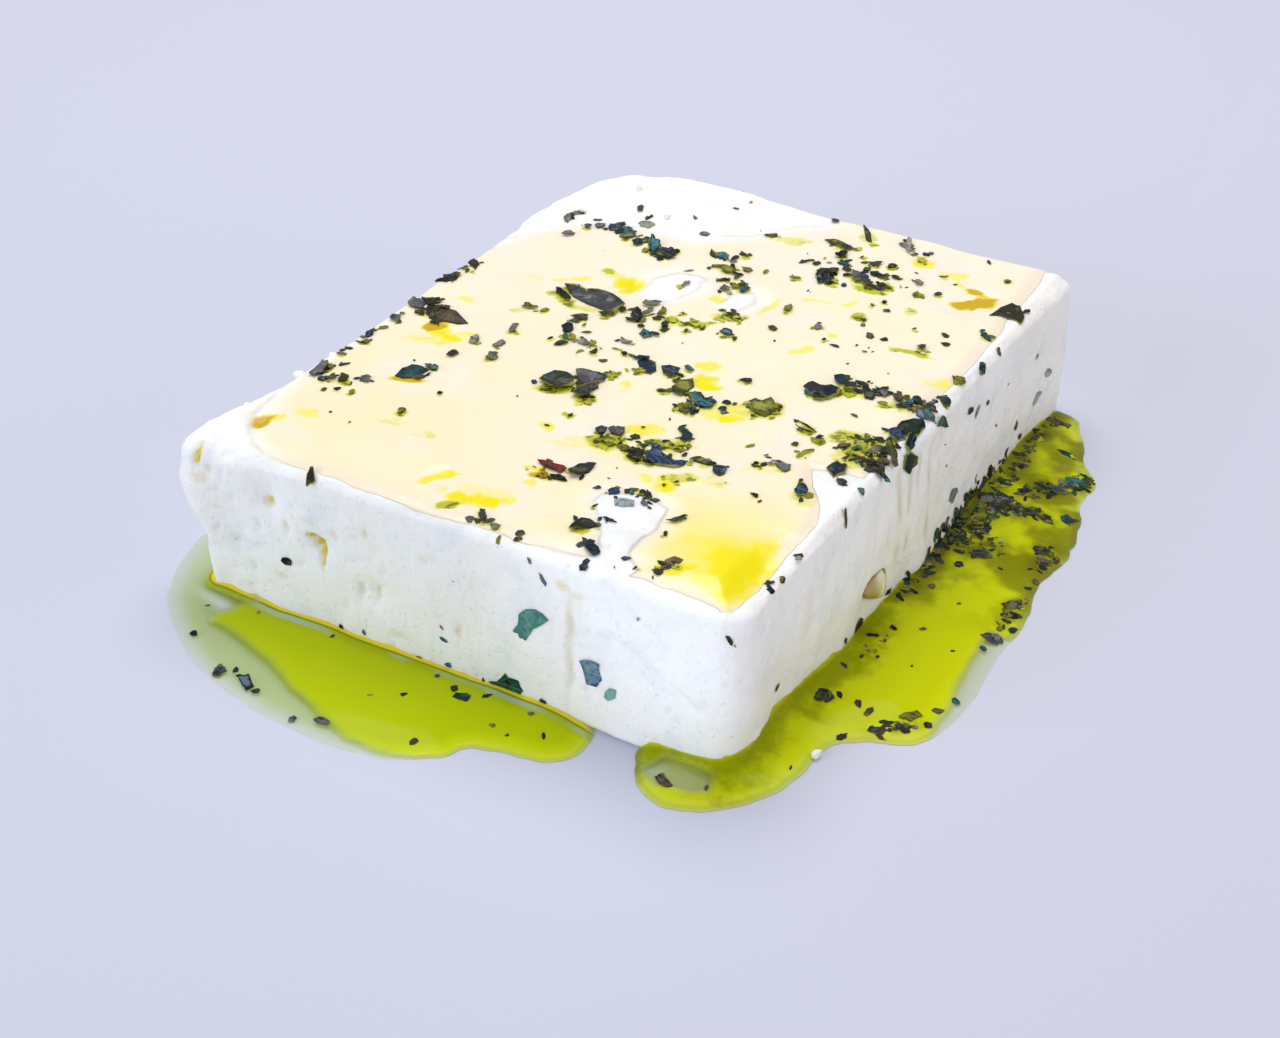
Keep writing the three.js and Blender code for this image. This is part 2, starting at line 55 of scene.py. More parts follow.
ahead = Vector(
    (
        math.sin(CAMERA_YAW) * math.cos(CAMERA_PITCH),
        math.cos(CAMERA_YAW) * math.cos(CAMERA_PITCH),
        -math.sin(CAMERA_PITCH),
    )
)
level = Vector((math.cos(CAMERA_YAW), -math.sin(CAMERA_YAW), 0))
above = level.cross(ahead)
right = level * math.cos(CAMERA_ROLL) + above * math.sin(CAMERA_ROLL)
upward = above * math.cos(CAMERA_ROLL) - level * math.sin(CAMERA_ROLL)
lens = bpy.data.cameras.new("camera")
lens.sensor_width = SENSOR_MM
lens.lens = FOCAL_PIXELS / PICTURE_WIDTH * SENSOR_MM
lens.clip_start = 0.01
camera = bpy.data.objects.new("camera", lens)
bpy.context.collection.objects.link(camera)
camera.matrix_world = Matrix.Translation(CAMERA_PLACE_MM * 0.001) @ Matrix(
    (right, upward, -ahead)
).transposed().to_4x4()
bpy.context.scene.camera = camera


# The slab: one block of white brined curd, cut with straight faces and since worn. Its back corner and
# left edge have broken away, its top has hollows that hold oil, and it is one piece with its base flat.
WIDTH = 80
LENGTH = 105
HEIGHT = 23
FOOT_ROUND = 0.7
CORNERS = {"front left": 2.5, "front right": 4.5, "back right": 2, "back left": 14}
LUMP = {"size": 13, "top": 0.22, "side": 0.55}
CRUMB = {"size": 4.6, "top": 0.12, "side": 0.3}
STEPS_X = 200
STEPS_Y = 260
SIDE_STEPS = 50
EDGE_STEPS = 8

# Hollows and crests of the top: x, y, reach along x and y, and rise
TOP_MARKS = [
    [35, -44, 5.2, 6.5, -1.3], # the deepest basin, at the front corner
    [-0.8, -47, 2.6, 2.2, -0.9],
    [-7, -44.3, 1.3, 1.5, -0.4],
    [-34.4, -44.3, 1.4, 2.4, -0.8],
    [-30.2, -11.2, 1.7, 1.7, -0.8],
    [-27.3, -12.8, 2.2, 1.3, -0.8],
    [-13.8, 15, 1.6, 2.4, -0.9],
    [-17.5, 17, 2.2, 1.2, -0.5],
    [31.6, 36.2, 2, 2.4, -0.9],
    [29.8, 33.4, 1.7, 1.9, -0.9],
    [25.8, 42.3, 1.7, 2.2, -0.5],
    [15.8, -12, 2.3, 2, -0.6],
    [10, -5.6, 1.7, 1.5, -0.6],
    [6.6, 19.5, 1.1, 3.3, -0.4],
    [-22, 44, 16, 10, 1.6], # the dry hump at the back corner
    [-6, 48, 5, 5, 0.5],
    [-30, 46, 5, 6, -0.4],
    [-39, -44, 3, 6, 0.6],
    [16.5, -39, 2.8, 2.8, 0.6], # the dry ridge near the front edge
    [20, -46, 2, 4, 0.6],
    [37, -23, 2.8, 5, 0.6],
    [-6, 19, 3.4, 2.8, 0.7],
    [2.3, 17.6, 1.6, 1.8, 0.6],
]

# Bulges and pits of the upright faces: x, y, z, reach and rise
SIDE_MARKS = [
    [-40, -46, 20, 7, 2.4], # the left corner leans out
    [-41, -53, 17, 6, 1.4],
    [-40, -12, 20, 17, -1.8], # the left edge is broken away
    [-40, 29, 21, 6, 1.2],
    [26, -52, 1, 7, 1.3], # the foot spreads near the front corner
    [-20.3, -52, 13, 1.9, -1.1],
    [-28, -52, 17, 2.1, -0.8],
    [-12.8, -52, 8.2, 2.2, -0.8],
    [-37.5, -52, 20, 2.4, -0.9],
    [16.5, -52, 12, 3.4, -0.6],
    [40, -38, 1.5, 9, -1.4],
    [40, 50, 14, 10, 0.9],
]


def draw(n):
    """A number from 0 to 1 for each whole number, always the same."""
    s = np.sin(np.asarray(n, float) * 12.9898 + 4.1414) * 43758.5453
    return s - np.floor(s)


def smooth(low, high, value):
    """Runs from 0 at `low` to 1 at `high` with soft ends."""
    t = np.clip((value - low) / (high - low), 0, 1)
    return t * t * (3 - 2 * t)


def noise(p, size):
    """Smooth noise from -1 to 1, whose bumps are about `size` across."""
    cell = np.floor(p / size)
    part = p / size - cell
    ease = part * part * (3 - 2 * part)
    total = 0
    for corner in range(8):
        step = np.array([corner & 1, corner >> 1 & 1, corner >> 2])
        at = cell + step
        weight = np.prod(np.where(step, ease, 1 - ease), axis=-1)
        total = total + weight * draw(at[:, 0] * 7.31 + at[:, 1] * 17.17 + at[:, 2] * 29.53)
    return 2 * total - 1


def hill(u, v, along, across):
    """A soft mound, 1 in its middle, by how far places lie from there along and across it."""
    return np.exp(-((u / along) ** 2) - (v / across) ** 2)


def turned(x, y, turn):
    """Places in plan as they read from axes turned by so many degrees."""
    c, s = math.cos(math.radians(turn)), math.sin(math.radians(turn))
    return x * c + y * s, y * c - x * s


def relief(p, up, hollows=True):
    """The curd's rise along its normal. `up` is 0 on an upright face and 1 on the top."""
    rise = np.zeros(len(p))
    for scale in (LUMP, CRUMB):
        rise += noise(p, scale["size"]) * (scale["side"] + (scale["top"] - scale["side"]) * up)
    for x, y, rx, ry, high in TOP_MARKS:
        if hollows or high > 0:
            rise += up * high * hill(p[:, 0] - x, p[:, 1] - y, rx, ry)
    for x, y, z, reach, high in SIDE_MARKS:
        away = ((p - (x, y, z)) ** 2).sum(1) / reach**2
        rise += (1 - up) * high * np.exp(-away)
    return rise


def edge_radius(x, y):
    """The radius of the top's edge: crisp along the front and right, worn at the left and the back."""
    left = smooth(-22, -38, x)
    back = smooth(30, 50, y)
    p = np.stack([x, y, np.full_like(x, 50.0)], 1)
    return 1.15 + 1.3 * left + 0.9 * back + 0.25 * noise(p, 7)


def outline(x, y):
    """Points of the rounded plan outline and their outward normals, from the sharp rectangle's."""
    places, normals = [], []
    for px, py in zip(x, y):
        side = (math.copysign(1, px), math.copysign(1, py))
        key = ("front " if py < 0 else "back ") + ("left" if px < 0 else "right")
        r = CORNERS[key]
        centre = (side[0] * (WIDTH / 2 - r), side[1] * (LENGTH / 2 - r))
        past = ((px - centre[0]) * side[0], (py - centre[1]) * side[1])
        if past[0] > 0 and past[1] > 0:
            d = math.hypot(*past)
            normal = (side[0] * past[0] / d, side[1] * past[1] / d)
            places.append((centre[0] + normal[0] * r, centre[1] + normal[1] * r))
        else:
            on_end = abs(py) > LENGTH / 2 - 1e-6
            normal = (0, side[1]) if on_end else (side[0], 0)
            places.append((px, py))
        normals.append(normal)
    return np.array(places, float), np.array(normals, float)


def rectangle():
    """The sharp rectangle's points in turn: front, right, back, left."""
    w, l = WIDTH / 2, LENGTH / 2
    across = np.arange(STEPS_X) / STEPS_X
    along = np.arange(STEPS_Y) / STEPS_Y
    x = np.concatenate([-w + WIDTH * across, np.full(STEPS_Y, w), w - WIDTH * across, np.full(STEPS_Y, -w)])
    y = np.concatenate([np.full(STEPS_X, -l), -l + LENGTH * along, np.full(STEPS_X, l), l - LENGTH * along])
    return x, y


BEVEL = 0.6


def edge_point(place, normal, radius, lean):
    """Places on the top edge, between a round and a bevel, where a round would lean by so many degrees."""
    a = math.radians(lean)
    inset = (1 - BEVEL) * (1 - math.cos(a)) + BEVEL * lean / 90
    drop = (1 - BEVEL) * (1 - math.sin(a)) + BEVEL * (1 - lean / 90)
    at = place - normal * (radius * inset)[:, None]
    return at, HEIGHT - radius * drop, np.full(len(at), math.sin(a) ** 2)


def table(text):
    """Rows of numbers and words, from a text with a comma between the rows."""
    rows = [row.split() for row in text.split(",")]
    return [[float(word) if word[-1].isdigit() else word for word in row] for row in rows]


# Where the top stayed dry: the hump at the back corner, the strip behind it, two lumps, the ridge by
# the front edge, the bands along the front and right edges, and the left corner. Each row is a corner
# of a polygon in plan.
DRY = {
    "hump": table("""
        -46 20, -38.5 21.5, -33 29, -27 32, -20 33.4, -13 33, -7 38.5, -3 44, 1 49, 3 56, -46 56
    """),
    "back strip": table("-46 15, -39 17, -37.4 22, -38 60, -46 60"),
    "left lump": table("-10.6 14, -7 13.4, -5.4 17, -6 20.6, -9 20.8, -11 18"),
    "right lump": table("1.4 15.8, 3 15.6, 3.8 18.6, 2.6 20.4, 1.4 19.8"),
    "ridge": table("""
        13.2 -37.6, 16.7 -36, 20.7 -36.6, 21.8 -40.7, 21.5 -44.2, 21.8 -47.6, 24.2 -50, 24 -56, 17.4 -56,
        18.6 -51.8, 20 -49.8, 19 -47.6, 17.6 -44.8, 15.2 -42, 13.2 -39.6
    """),
    "front band": table("-46 -51.5, -20 -51.5, 12 -51.6, 24 -51.4, 36 -51.4, 46 -56, -46 -56"),
    "right triangle": table("""
        32.3 -18.6, 36 -17.2, 46 -17, 46 -31, 38.4 -30, 37.4 -26.6, 36 -24.6, 34.2 -22.4
    """),
    "right band": table("""
        37.6 -56, 38.2 -48, 38 -36, 38.6 -20, 38.2 0, 38.6 20, 37.6 36, 36.6 50, 46 56, 46 -56
    """),
    "left corner": table("""
        -46 -8, -40 -12, -39 -25, -38.6 -37, -37.2 -43.6, -35.2 -47.6, -32.4 -50.2, -28 -52, -28 -56,
        -46 -56
    """),
}
FILM_MM = 0.22
FILM_LIP_MM = 1.5
NO_OIL = -9  # the wetness of an upright face, far outside the film


def reach_inside(x, y, polygon):
    """How far each place lies inside a polygon, and less than zero outside it."""
    nearest = np.full(len(x), 1e9)
    inside = np.zeros(len(x), bool)
    for (ax, ay), (bx, by) in zip(polygon, polygon[1:] + polygon[:1]):
        dx, dy = bx - ax, by - ay
        t = np.clip(((x - ax) * dx + (y - ay) * dy) / (dx * dx + dy * dy), 0, 1)
        nearest = np.minimum(nearest, np.hypot(x - ax - t * dx, y - ay - t * dy))
        if dy:
            inside ^= ((ay > y) != (by > y)) & (x < ax + (y - ay) * dx / dy)
    return np.where(inside, nearest, -nearest)


def wetness(x, y):
    """Distance in from the nearest dry patch, in millimetres, with a frayed line."""
    p = np.stack([x, y, np.full_like(x, 80.0)], 1)
    away = np.min([-reach_inside(x, y, polygon) for polygon in DRY.values()], axis=0)
    return away + 0.4 * noise(p, 4.6) + 0.12 * noise(p, 1.5)


def margin_softness(x, y):
    """How gently the film thins out at its margin: 0 at the front and right, 1 at the left and the back."""
    soft = smooth(-22, -32, x) + smooth(16, 26, y) * smooth(12, 2, x)
    soft += 0.9 * smooth(8, 5, np.hypot(x + 8, y - 17)) + 0.9 * smooth(6, 3.5, np.hypot(x - 2.4, y - 18))
    return np.clip(soft + 0.6 * smooth(12, 8, np.hypot(x - 18, y + 43)), 0, 1)


# Where oil stands thicker than the plain film: x, y, reach along and across, turn, and thickness
OIL_MARKS = [
    [31, -41, 11, 13, 0, 0.2],  # the front basin and its wide margin
    [34, -44, 5, 6.5, 0, 0.25],
    [9.8, -5.3, 1.9, 1.3, 20, 0.2],
    [16.5, -11.8, 2.3, 1.7, -10, 0.2],
    [30.7, 16.5, 2.4, 1.2, 60, 0.1],
    [6.7, 19, 0.9, 3.6, 0, 0.14],
]

# Stains, by kind: places where the oil has soaked in or stands deep. x, y, half sizes along and across,
# turn, and strength. Their outlines are frayed.
STAINS = {
    "yellow": table("""
        -14.2 15.4 2.4 1.7 30 0.9, -13 13.4 1 1.8 -30 0.9, -17.4 16.4 2.8 0.7 -10 0.5,
        -29.2 -11.9 1.7 1.3 -20 0.9, -26.6 -12.8 1.7 1 -20 0.9, -28.4 -14.6 3.6 1.5 20 0.45,
        -25.3 -10.8 1.6 0.9 20 0.35, -31.2 -1.9 1.6 1.1 0 0.35, -21.7 12.2 3.2 0.9 40 0.35,
        -27.3 9.6 1.8 1.4 40 0.25, 26 42.1 2.5 2 30 0.45, 27.4 39.4 1.6 1.2 0 0.5, 19.9 43.6 2 1.3 30 0.7,
        6.7 19.2 1 3.8 0 0.5, 10.4 23.6 1.4 0.6 20 0.5, 13.5 23.9 2.8 0.5 12 0.4, 16.4 25.2 1.5 0.9 60 0.5,
        -0.1 16.9 1.8 1.4 0 0.6, 16.5 8.7 2.2 0.8 50 0.5, 18.7 15 1.1 0.7 -30 0.45, 8.1 -1.5 2 1.4 30 0.6,
        9.3 -5 1.9 1.5 30 0.9, 10.6 -6.4 2.2 1 10 0.9, -1 -46.9 2.6 1.5 25 1, 1.7 -45.6 2.2 1.1 30 1,
        0 -44 3.4 1.4 30 0.3, -7.7 -45.4 1.5 0.8 30 0.8, -6.3 -43.2 1.7 0.9 30 0.9, -5.2 -46.6 1 0.8 0 0.4,
        2 -36 1.5 0.8 30 0.8, 3.8 -39.6 1 0.8 0 0.7, 4.8 -28.8 5.4 2.6 25 0.28, -2.1 -26.6 1.1 0.9 0 0.7,
        9 -21.1 2.3 1.5 20 0.6, 0.8 -12.2 2 0.7 -80 0.6, 18.3 -31.4 1.4 1.7 0 0.8, 15.3 -31.5 1.3 0.9 0 0.5,
        15.9 -11.3 3.2 2.4 35 0.5, 17 -12.8 1.9 0.9 30 0.9, 26.5 -22.3 3.6 1.9 40 0.3,
        27.4 2 2.6 1.6 20 0.8, 36.6 10.4 2.4 1.6 30 0.4, -33.4 -42.6 1.6 1.2 30 0.6,
        -30.3 -40.2 1.8 1.1 30 0.5, 28.6 -47.4 2.6 1.2 20 0.9, 27.3 -40.8 2.2 0.8 10 0.5
    """),
    "olive": table("""
        -19 16.9 1 0.9 0 0.8, -21 6.9 1.7 1.8 0 1, -18.8 5 3 1 -20 0.9, -14.2 4.8 3 0.8 10 0.6,
        -22.9 -1.4 1.6 1.2 0 0.5, -2.8 7.6 1.2 1 30 0.9, 19 44.6 1.2 0.8 30 0.6, 16.7 31 2.4 1.2 10 0.9,
        18.7 33 1.3 1 0 0.8, 19 22.2 1.1 1.3 0 0.8, 3.4 12.6 2.6 1.3 30 0.8, 1 8.6 2.4 0.8 40 0.8,
        30.4 16.4 3.4 0.9 5 0.9, 24.4 27.4 1.1 0.9 0 0.5, 0.2 39.5 3.4 1.4 20 0.4,
        -2.3 -49.2 1.7 0.6 55 0.9, -1 -22.8 0.9 0.8 0 0.8, 19.3 -29.4 1.8 1 30 0.6,
        -20.3 -35.4 2.2 1.8 60 0.25, -14.8 -37 2 1.4 0 0.25, 6.4 -26 2.5 2 30 0.9, -6.1 -17.8 3 1.1 30 0.9,
        -1.7 -18.1 2.2 1.6 20 0.8, 11.4 -27 2 1.8 0 0.8, 13.3 -22.8 3.4 1.4 25 0.8, 23.4 -28 2.4 1.5 20 0.4,
        35.7 -25.6 3 2 20 0.3, 20.1 -8.8 3 2.6 0 0.8, 36 -11.8 3.6 4 0 0.8, 33 -9.4 3 2.4 0 0.7,
        34.6 1 3 1 30 0.7
    """),
    "amber": table("""
        -30.6 -10.9 1.5 1.5 0 0.9, 29.6 33.2 1.5 1.3 0 0.9, 31.4 34.6 1.8 1.4 40 1, 32.7 36.4 1.5 1.8 0 1,
        30.6 38.7 1.5 1.1 -30 0.8, 3.6 -37.2 1.5 1.1 30 1, -34.4 -44.2 1.4 2 0 0.9,
        -24.4 -25.6 2.6 0.9 30 0.9
    """),
}
# The deep oil at the front corner, in plan
BASIN = table("""
    29.4 -40.4, 33 -39.3, 35.2 -37.5, 36.4 -39.9, 37.2 -43.2, 37.6 -46.7, 37 -49, 35.6 -49.2, 33.2 -46.9,
    31 -43.8
""")


def oil_at(x, y):
    """Thickness of the oil on the top: the film, what lies in the hollows, and its rounded lip."""
    p = np.stack([x, y, np.full_like(x, float(HEIGHT))], 1)
    ones = np.ones(len(x))
    wet = wetness(x, y)
    hollow = relief(p, ones, hollows=False) - relief(p, ones)
    thick = FILM_MM + 0.05 * noise(p, 6) + np.clip(hollow - 0.12, 0, None)
    for mx, my, along, across, turn, more in OIL_MARKS:
        thick += more * hill(*turned(x - mx, y - my, turn), along, across)
    lip = FILM_LIP_MM + 3.6 * margin_softness(x, y) + 3 * np.clip(thick - FILM_MM, 0, 1)
    inward = np.clip(wet / lip, 0, 1)
    return thick * inward**2 * (3 - 2 * inward), wet


def frayed(p, reach, grain):
    """Offsets that fray an outline by up to `reach`, in lobes of two sizes."""
    sides = []
    for shift in (0, 40, 80):
        lobes = 0.7 * noise(p + shift + 11, grain) + 0.4 * noise(p + shift + 5, grain * 0.45)
        sides.append(reach * lobes)
    return np.stack(sides, 1)


def stains_at(x, y):
    """Strength of each kind of stain on the top, from 0 outside to 1 in its middle."""
    p = np.stack([x, y, np.full_like(x, 60.0)], 1)
    fray = frayed(p, 1.1, 1.9)
    frayed_x, frayed_y = x + fray[:, 0], y + fray[:, 1]
    kinds = {kind: np.zeros(len(x)) for kind in STAINS}
    for kind, marks in STAINS.items():
        for mx, my, along, across, turn, strength in marks:
            u, v = turned(frayed_x - mx, frayed_y - my, turn)
            away = (u / along) ** 2 + (v / across) ** 2
            kinds[kind] = np.maximum(kinds[kind], strength * np.clip(1.3 - 0.8 * away, 0, 1))
    core = reach_inside(frayed_x, frayed_y, BASIN)
    kinds["yellow"] = np.maximum(kinds["yellow"], smooth(-3.6, 1.8, core) * smooth(39, 37.2, x))
    return kinds


def film_tint(x, y):
    """How yellow the plain film is: pale at the back, deeper at the front left and round the basin."""
    p = np.stack([x, y, np.full_like(x, 30.0)], 1)
    tint = 0.18 + 0.1 * smooth(25, -45, y) + 0.06 * smooth(10, -40, x) * smooth(10, -30, y)
    tint += 0.6 * hill(x - 29, y + 41, 11, 10)
    return tint + 0.07 * noise(p, 12) + 0.05 * noise(p, 4)


# Pits of the upright faces, filled with a little oil or whey: along the face, height, half sizes along
# and up, depth, and how strongly they are stained
FRONT_PITS = table("""
    -38.1 20.9 0.4 1.1 0.5 0.95, -37.6 18.3 1.4 0.8 0.2 0.4, -36.6 19.8 0.5 0.7 0.3 0.5,
    -28.2 16.8 0.75 0.85 0.4 0.75, -25.2 14 0.5 1.1 0.4 0.4, -21.6 13.6 0.8 0.5 0.6 1,
    -20.7 12.8 0.7 0.75 0.8 1, -20.1 11.8 0.55 1 0.8 1, -19.7 10.5 0.42 1.2 0.5 0.95,
    -13 17 0.6 0.8 0.3 0.45, -4.5 16 0.9 0.6 0.25 0.35, -14.2 8 0.6 1.2 0.5 0.5, -11.7 8.2 0.45 1.6 0.6 0.5,
    0.8 7 0.5 1.3 0.4 0.5, 16.3 19.8 0.9 0.8 0 0.64, 18.2 18.9 1.6 0.8 0 0.35, -31 6 0.6 1 0.3 0.25,
    -35.4 14.4 0.9 0.5 0.2 0.3, -29.6 13.4 0.4 0.7 0.3 0.3, -26.5 6.2 1.2 0.6 0.2 0.4,
    26.4 18.4 0.5 0.5 0.2 0.35, -24 17.6 0.4 0.6 0.2 0.3, -33.4 16.2 0.5 0.9 0.3 0.2,
    -8.6 3.4 1.4 0.7 0.2 0.35, -33.4 9.4 0.7 0.9 0.35 0.3, -17.6 15.2 0.6 1 0.35 0.35,
    -10.4 12.6 0.5 1.2 0.3 0.3, -23.4 9.2 0.8 0.6 0.35 0.3, -16.4 5.2 0.5 1 0.3 0.3,
    -36.2 10.6 0.5 0.9 0.3 0.25
""")
# Lumps of the front face, and the soft fold that runs down across its right half, in the same terms
FRONT_LUMPS = table("-30.4 11, -22 17, -15.6 13.4, -33 3.8")
FRONT_PITS += [[x, high, 1.4, 1, -0.32, 0] for x, high in FRONT_LUMPS]
# Along the fold's hollow, a faint stain value paints shade rather than oil or whey.
FRONT_PITS += [[22 + 1.5 * i, 14 - 0.75 * i, 1.4, 0.8, 0.3, 0.13] for i in range(9)]
FRONT_PITS += [[22.6 + 1.5 * i, 16.2 - 0.75 * i, 1.5, 1, -0.24, 0] for i in range(9)]

# Streaks where whey or oil ran down, by face: middle, half width, lower and upper height, and strength
STREAKS = {
    "front": table("""
        16.9 0.8 -7 26 0.5, 18.4 0.7 6 20 0.3, -26.8 0.6 8 19 0.35, 3.4 0.9 3 17 0.3, -2.4 0.7 3 14 0.3,
        -12 0.9 3 19 0.25
    """),
    "right": table("""
        -9 1.3 2 22 0.75, -5.8 1.1 3 22 0.8, -3.4 0.8 7 22 0.6, 0.4 1.4 0 22 0.8, 3.6 1 6 22 0.6,
        -12.6 1 7 22 0.5, -17 1.1 7 20 0.35, 8.6 1.1 5 21 0.4, 14 1.2 6 21 0.35, -34 1.6 3 18 0.3,
        22 1 8 21 0.3, -24 1.1 3 19 0.35, 31 1.2 5 20 0.3, -44 1.4 3 17 0.3
    """),
}
PORE_SPACING_MM = 2.1
PORE_MM = 0.4


def pores_at(p):
    """A mask for small round pores, which stand in some of the cells of a grid that fills space."""
    spots = p / PORE_SPACING_MM + 7
    cell = np.floor(spots)
    nearest = np.full(len(p), 9.0)
    is_pore = np.zeros(len(p))
    for step in range(27):
        near = cell + (step % 3 - 1, step // 3 % 3 - 1, step // 9 - 1)
        n = near[:, 0] * 7.31 + near[:, 1] * 17.17 + near[:, 2] * 29.53
        shift = np.stack([draw(n + 0.7), draw(n + 1.3), draw(n + 2.9)], 1)
        away = np.linalg.norm(spots - near - shift, axis=1)
        is_pore = np.where(away < nearest, draw(n + 5.1) < 0.15, is_pore)
        nearest = np.minimum(nearest, away)
    return is_pore * np.exp(-((nearest * PORE_SPACING_MM / PORE_MM) ** 2))


def fine_curd(p, up, normal, wet):
    """The small roughness of the curd, which oil hides on the top, and the chips along the top edge."""
    on_front = np.clip(-normal[:, 1], 0, 1)
    side = 0.7 + 0.35 * (1 - on_front)
    left = smooth(-34, -39, p[:, 0]) * (1 - up)
    rough = 0.12 * noise(p + 15, 3.3) + 0.1 * noise(p, 1.9) + 0.055 * noise(p + 50, 1.05)
    rough = rough * (1 + 1.3 * left)
    dry = 1 - smooth(0, 0.6, wet)
    amount = side * (1 - up) + dry * 1.1 * up + 0.08 * up
    drawn = noise(p * (1, 1, 0.16) + 90, 1.5) * 0.07 * (1 - up) * (1 - 0.5 * on_front)
    bumps = np.maximum(noise(p + 70, 1.9), 0) ** 2 * 0.12 * smooth(8, 2, p[:, 2]) * (1 - up)
    edge = 4 * up * (1 - up)
    nicks = smooth(0.3, 0.6, noise(p + 20, 2.3)) * 0.35 + smooth(0.25, 0.6, noise(p + 60, 0.95)) * 0.2
    worn = smooth(-22, -37, p[:, 0]) + 0.5 * smooth(25, 45, p[:, 1])
    pore = pores_at(p) * ((1 - up) + 0.3 * dry * up)
    hump = 0.38 * noise(p + 33, 5.2) * smooth(24, 36, p[:, 1]) * smooth(4, -6, p[:, 0]) * up
    return rough * amount + hump + drawn + bumps - 0.24 * pore - nicks * edge * (0.06 + 1.2 * worn), pore


def shown_under(oil_here):
    """How much of the fine roughness still shows under oil of a thickness."""
    return 1 - 0.8 * smooth(0.1, 0.4, oil_here)


def slab_mesh():
    """The slab's skin as points, quads and per-point masks."""
    place, normal = outline(*rectangle())
    radius = edge_radius(place[:, 0], place[:, 1])
    around = len(place)
    rows = []
    for k, inset in ((0, 1), (0.25, 0.5), (0.6, 0.14)):
        rows.append((place - normal * FOOT_ROUND * inset, np.full(around, float(k)), np.zeros(around)))
    for k in range(SIDE_STEPS + 1):
        z = 1 + (HEIGHT - radius - 1) * k / SIDE_STEPS
        rows.append((place, z, np.zeros(around)))
    for k in range(1, EDGE_STEPS + 1):
        rows.append(edge_point(place, normal, radius, 90 * k / EDGE_STEPS))
    at = [row[0] for row in rows]
    z = [row[1] for row in rows]
    up = [row[2] for row in rows]
    faces = []
    turn = np.arange(around)
    for k in range(len(rows) - 1):
        a, b = k * around + turn, k * around + (turn + 1) % around
        faces.append(np.stack([a, b, b + around, a + around], 1))

    rim = rows[-1][0]
    i, j = np.arange(STEPS_X + 1), np.arange(STEPS_Y + 1)
    front, back = i, 2 * STEPS_X + STEPS_Y - i
    right_side, left_side = STEPS_X + j, (2 * STEPS_X + 2 * STEPS_Y - j) % around
    u, v = (i / STEPS_X)[None, :, None], (j / STEPS_Y)[:, None, None]
    corners = (
        (1 - u) * (1 - v) * rim[front[0]]
        + u * (1 - v) * rim[front[-1]]
        + (1 - u) * v * rim[back[0]]
        + u * v * rim[back[-1]]
    )
    net = (1 - v) * rim[front][None] + v * rim[back][None]
    net = net + (1 - u) * rim[left_side][:, None] + u * rim[right_side][:, None] - corners
    start = (len(rows) - 1) * around
    index = np.zeros((STEPS_Y + 1, STEPS_X + 1), int)
    index[0], index[-1] = start + front, start + back
    index[:, 0], index[:, -1] = start + left_side, start + right_side
    inner = (STEPS_Y - 1) * (STEPS_X - 1)
    index[1:-1, 1:-1] = len(rows) * around + np.arange(inner).reshape(STEPS_Y - 1, STEPS_X - 1)
    at.append(net[1:-1, 1:-1].reshape(-1, 2))
    z.append(np.full(inner, float(HEIGHT)))
    up.append(np.ones(inner))
    squares = [index[:-1, :-1], index[:-1, 1:], index[1:, 1:], index[1:, :-1]]
    faces.append(np.stack(squares, -1).reshape(-1, 4))

    at, z, up = np.concatenate(at), np.concatenate(z), np.concatenate(up)
    normal = np.concatenate([np.tile(normal, (len(rows), 1)), np.zeros((inner, 2))])
    faces = [f for block in faces for f in block.tolist()]
    faces.append(list(range(around))[::-1])
    return at, z, up, normal, faces, around


def carve(at, z, up, normal):
    """Pushes plain places of the skin out by the curd's relief."""
    p = np.column_stack([at, z])
    rise = relief(p, up)
    flat = rise * np.sqrt(1 - up)
    lift = np.where(z == 0, 0, rise * np.sqrt(up))
    return np.column_stack([at + normal * flat[:, None], z + lift])


at, z, up, normal, slab_faces, around = slab_mesh()
plain = np.column_stack([at, z])
points = carve(at, z, up, normal)
oil, wet = oil_at(at[:, 0], at[:, 1])
oil = oil * smooth(0.3, 1, up)
fine, pore = fine_curd(plain, up, normal, wet)
stain_and_shade = np.zeros(len(at))
streak = np.zeros(len(at))
faces_of = {"front": (normal[:, 1] < -0.6) & (up < 0.5), "right": (normal[:, 0] > 0.6) & (up < 0.7)}
fray = frayed(plain, 0.32, 0.9)
for x, height, half_x, half_z, depth, strength in FRONT_PITS:
    away = ((at[:, 0] + fray[:, 0] - x) / half_x) ** 2 + ((z + fray[:, 2] - height) / half_z) ** 2
    fine -= faces_of["front"] * depth * np.exp(-(away**1.5))
    stain_and_shade = np.maximum(stain_and_shade, faces_of["front"] * strength * np.exp(-0.8 * away**1.4))
broken = 0.65 + 0.5 * noise(plain * (1, 1, 0.6) + 33, 2.2)
for face, streaks in STREAKS.items():
    along = at[:, 0] if face == "front" else at[:, 1]
    for middle, half, low, high, strength in streaks:
        waver = 0.5 * noise(plain * (0, 0, 1) + middle, 4)
        across = np.exp(-(((along + waver + 0.4 * fray[:, 0] - middle) / half) ** 2))
        here = across * broken * smooth(low, low + 7, z) * smooth(high, high - 2, z)
        streak = np.maximum(streak, faces_of[face] * strength * here)
fine = np.where(z == 0, 0, fine - 0.2 * streak)
flat = fine * np.sqrt(1 - up)
points[:, :2] += normal * flat[:, None]
points[:, 2] += fine * np.sqrt(up) * shown_under(oil) + oil


# Scraps of dried oregano: brittle leaf, crushed by hand and strewn. Each has uneven corners, a torn
# edge between them, a midrib and a curl, and lies where the oil or the curd holds it.
LEAF_PROUD = 0.4
LEAF_LEAST_MM = 0.14
SMALLEST_LEAF = 1.9
SUNK = ("soaked", "mossy", "amber")

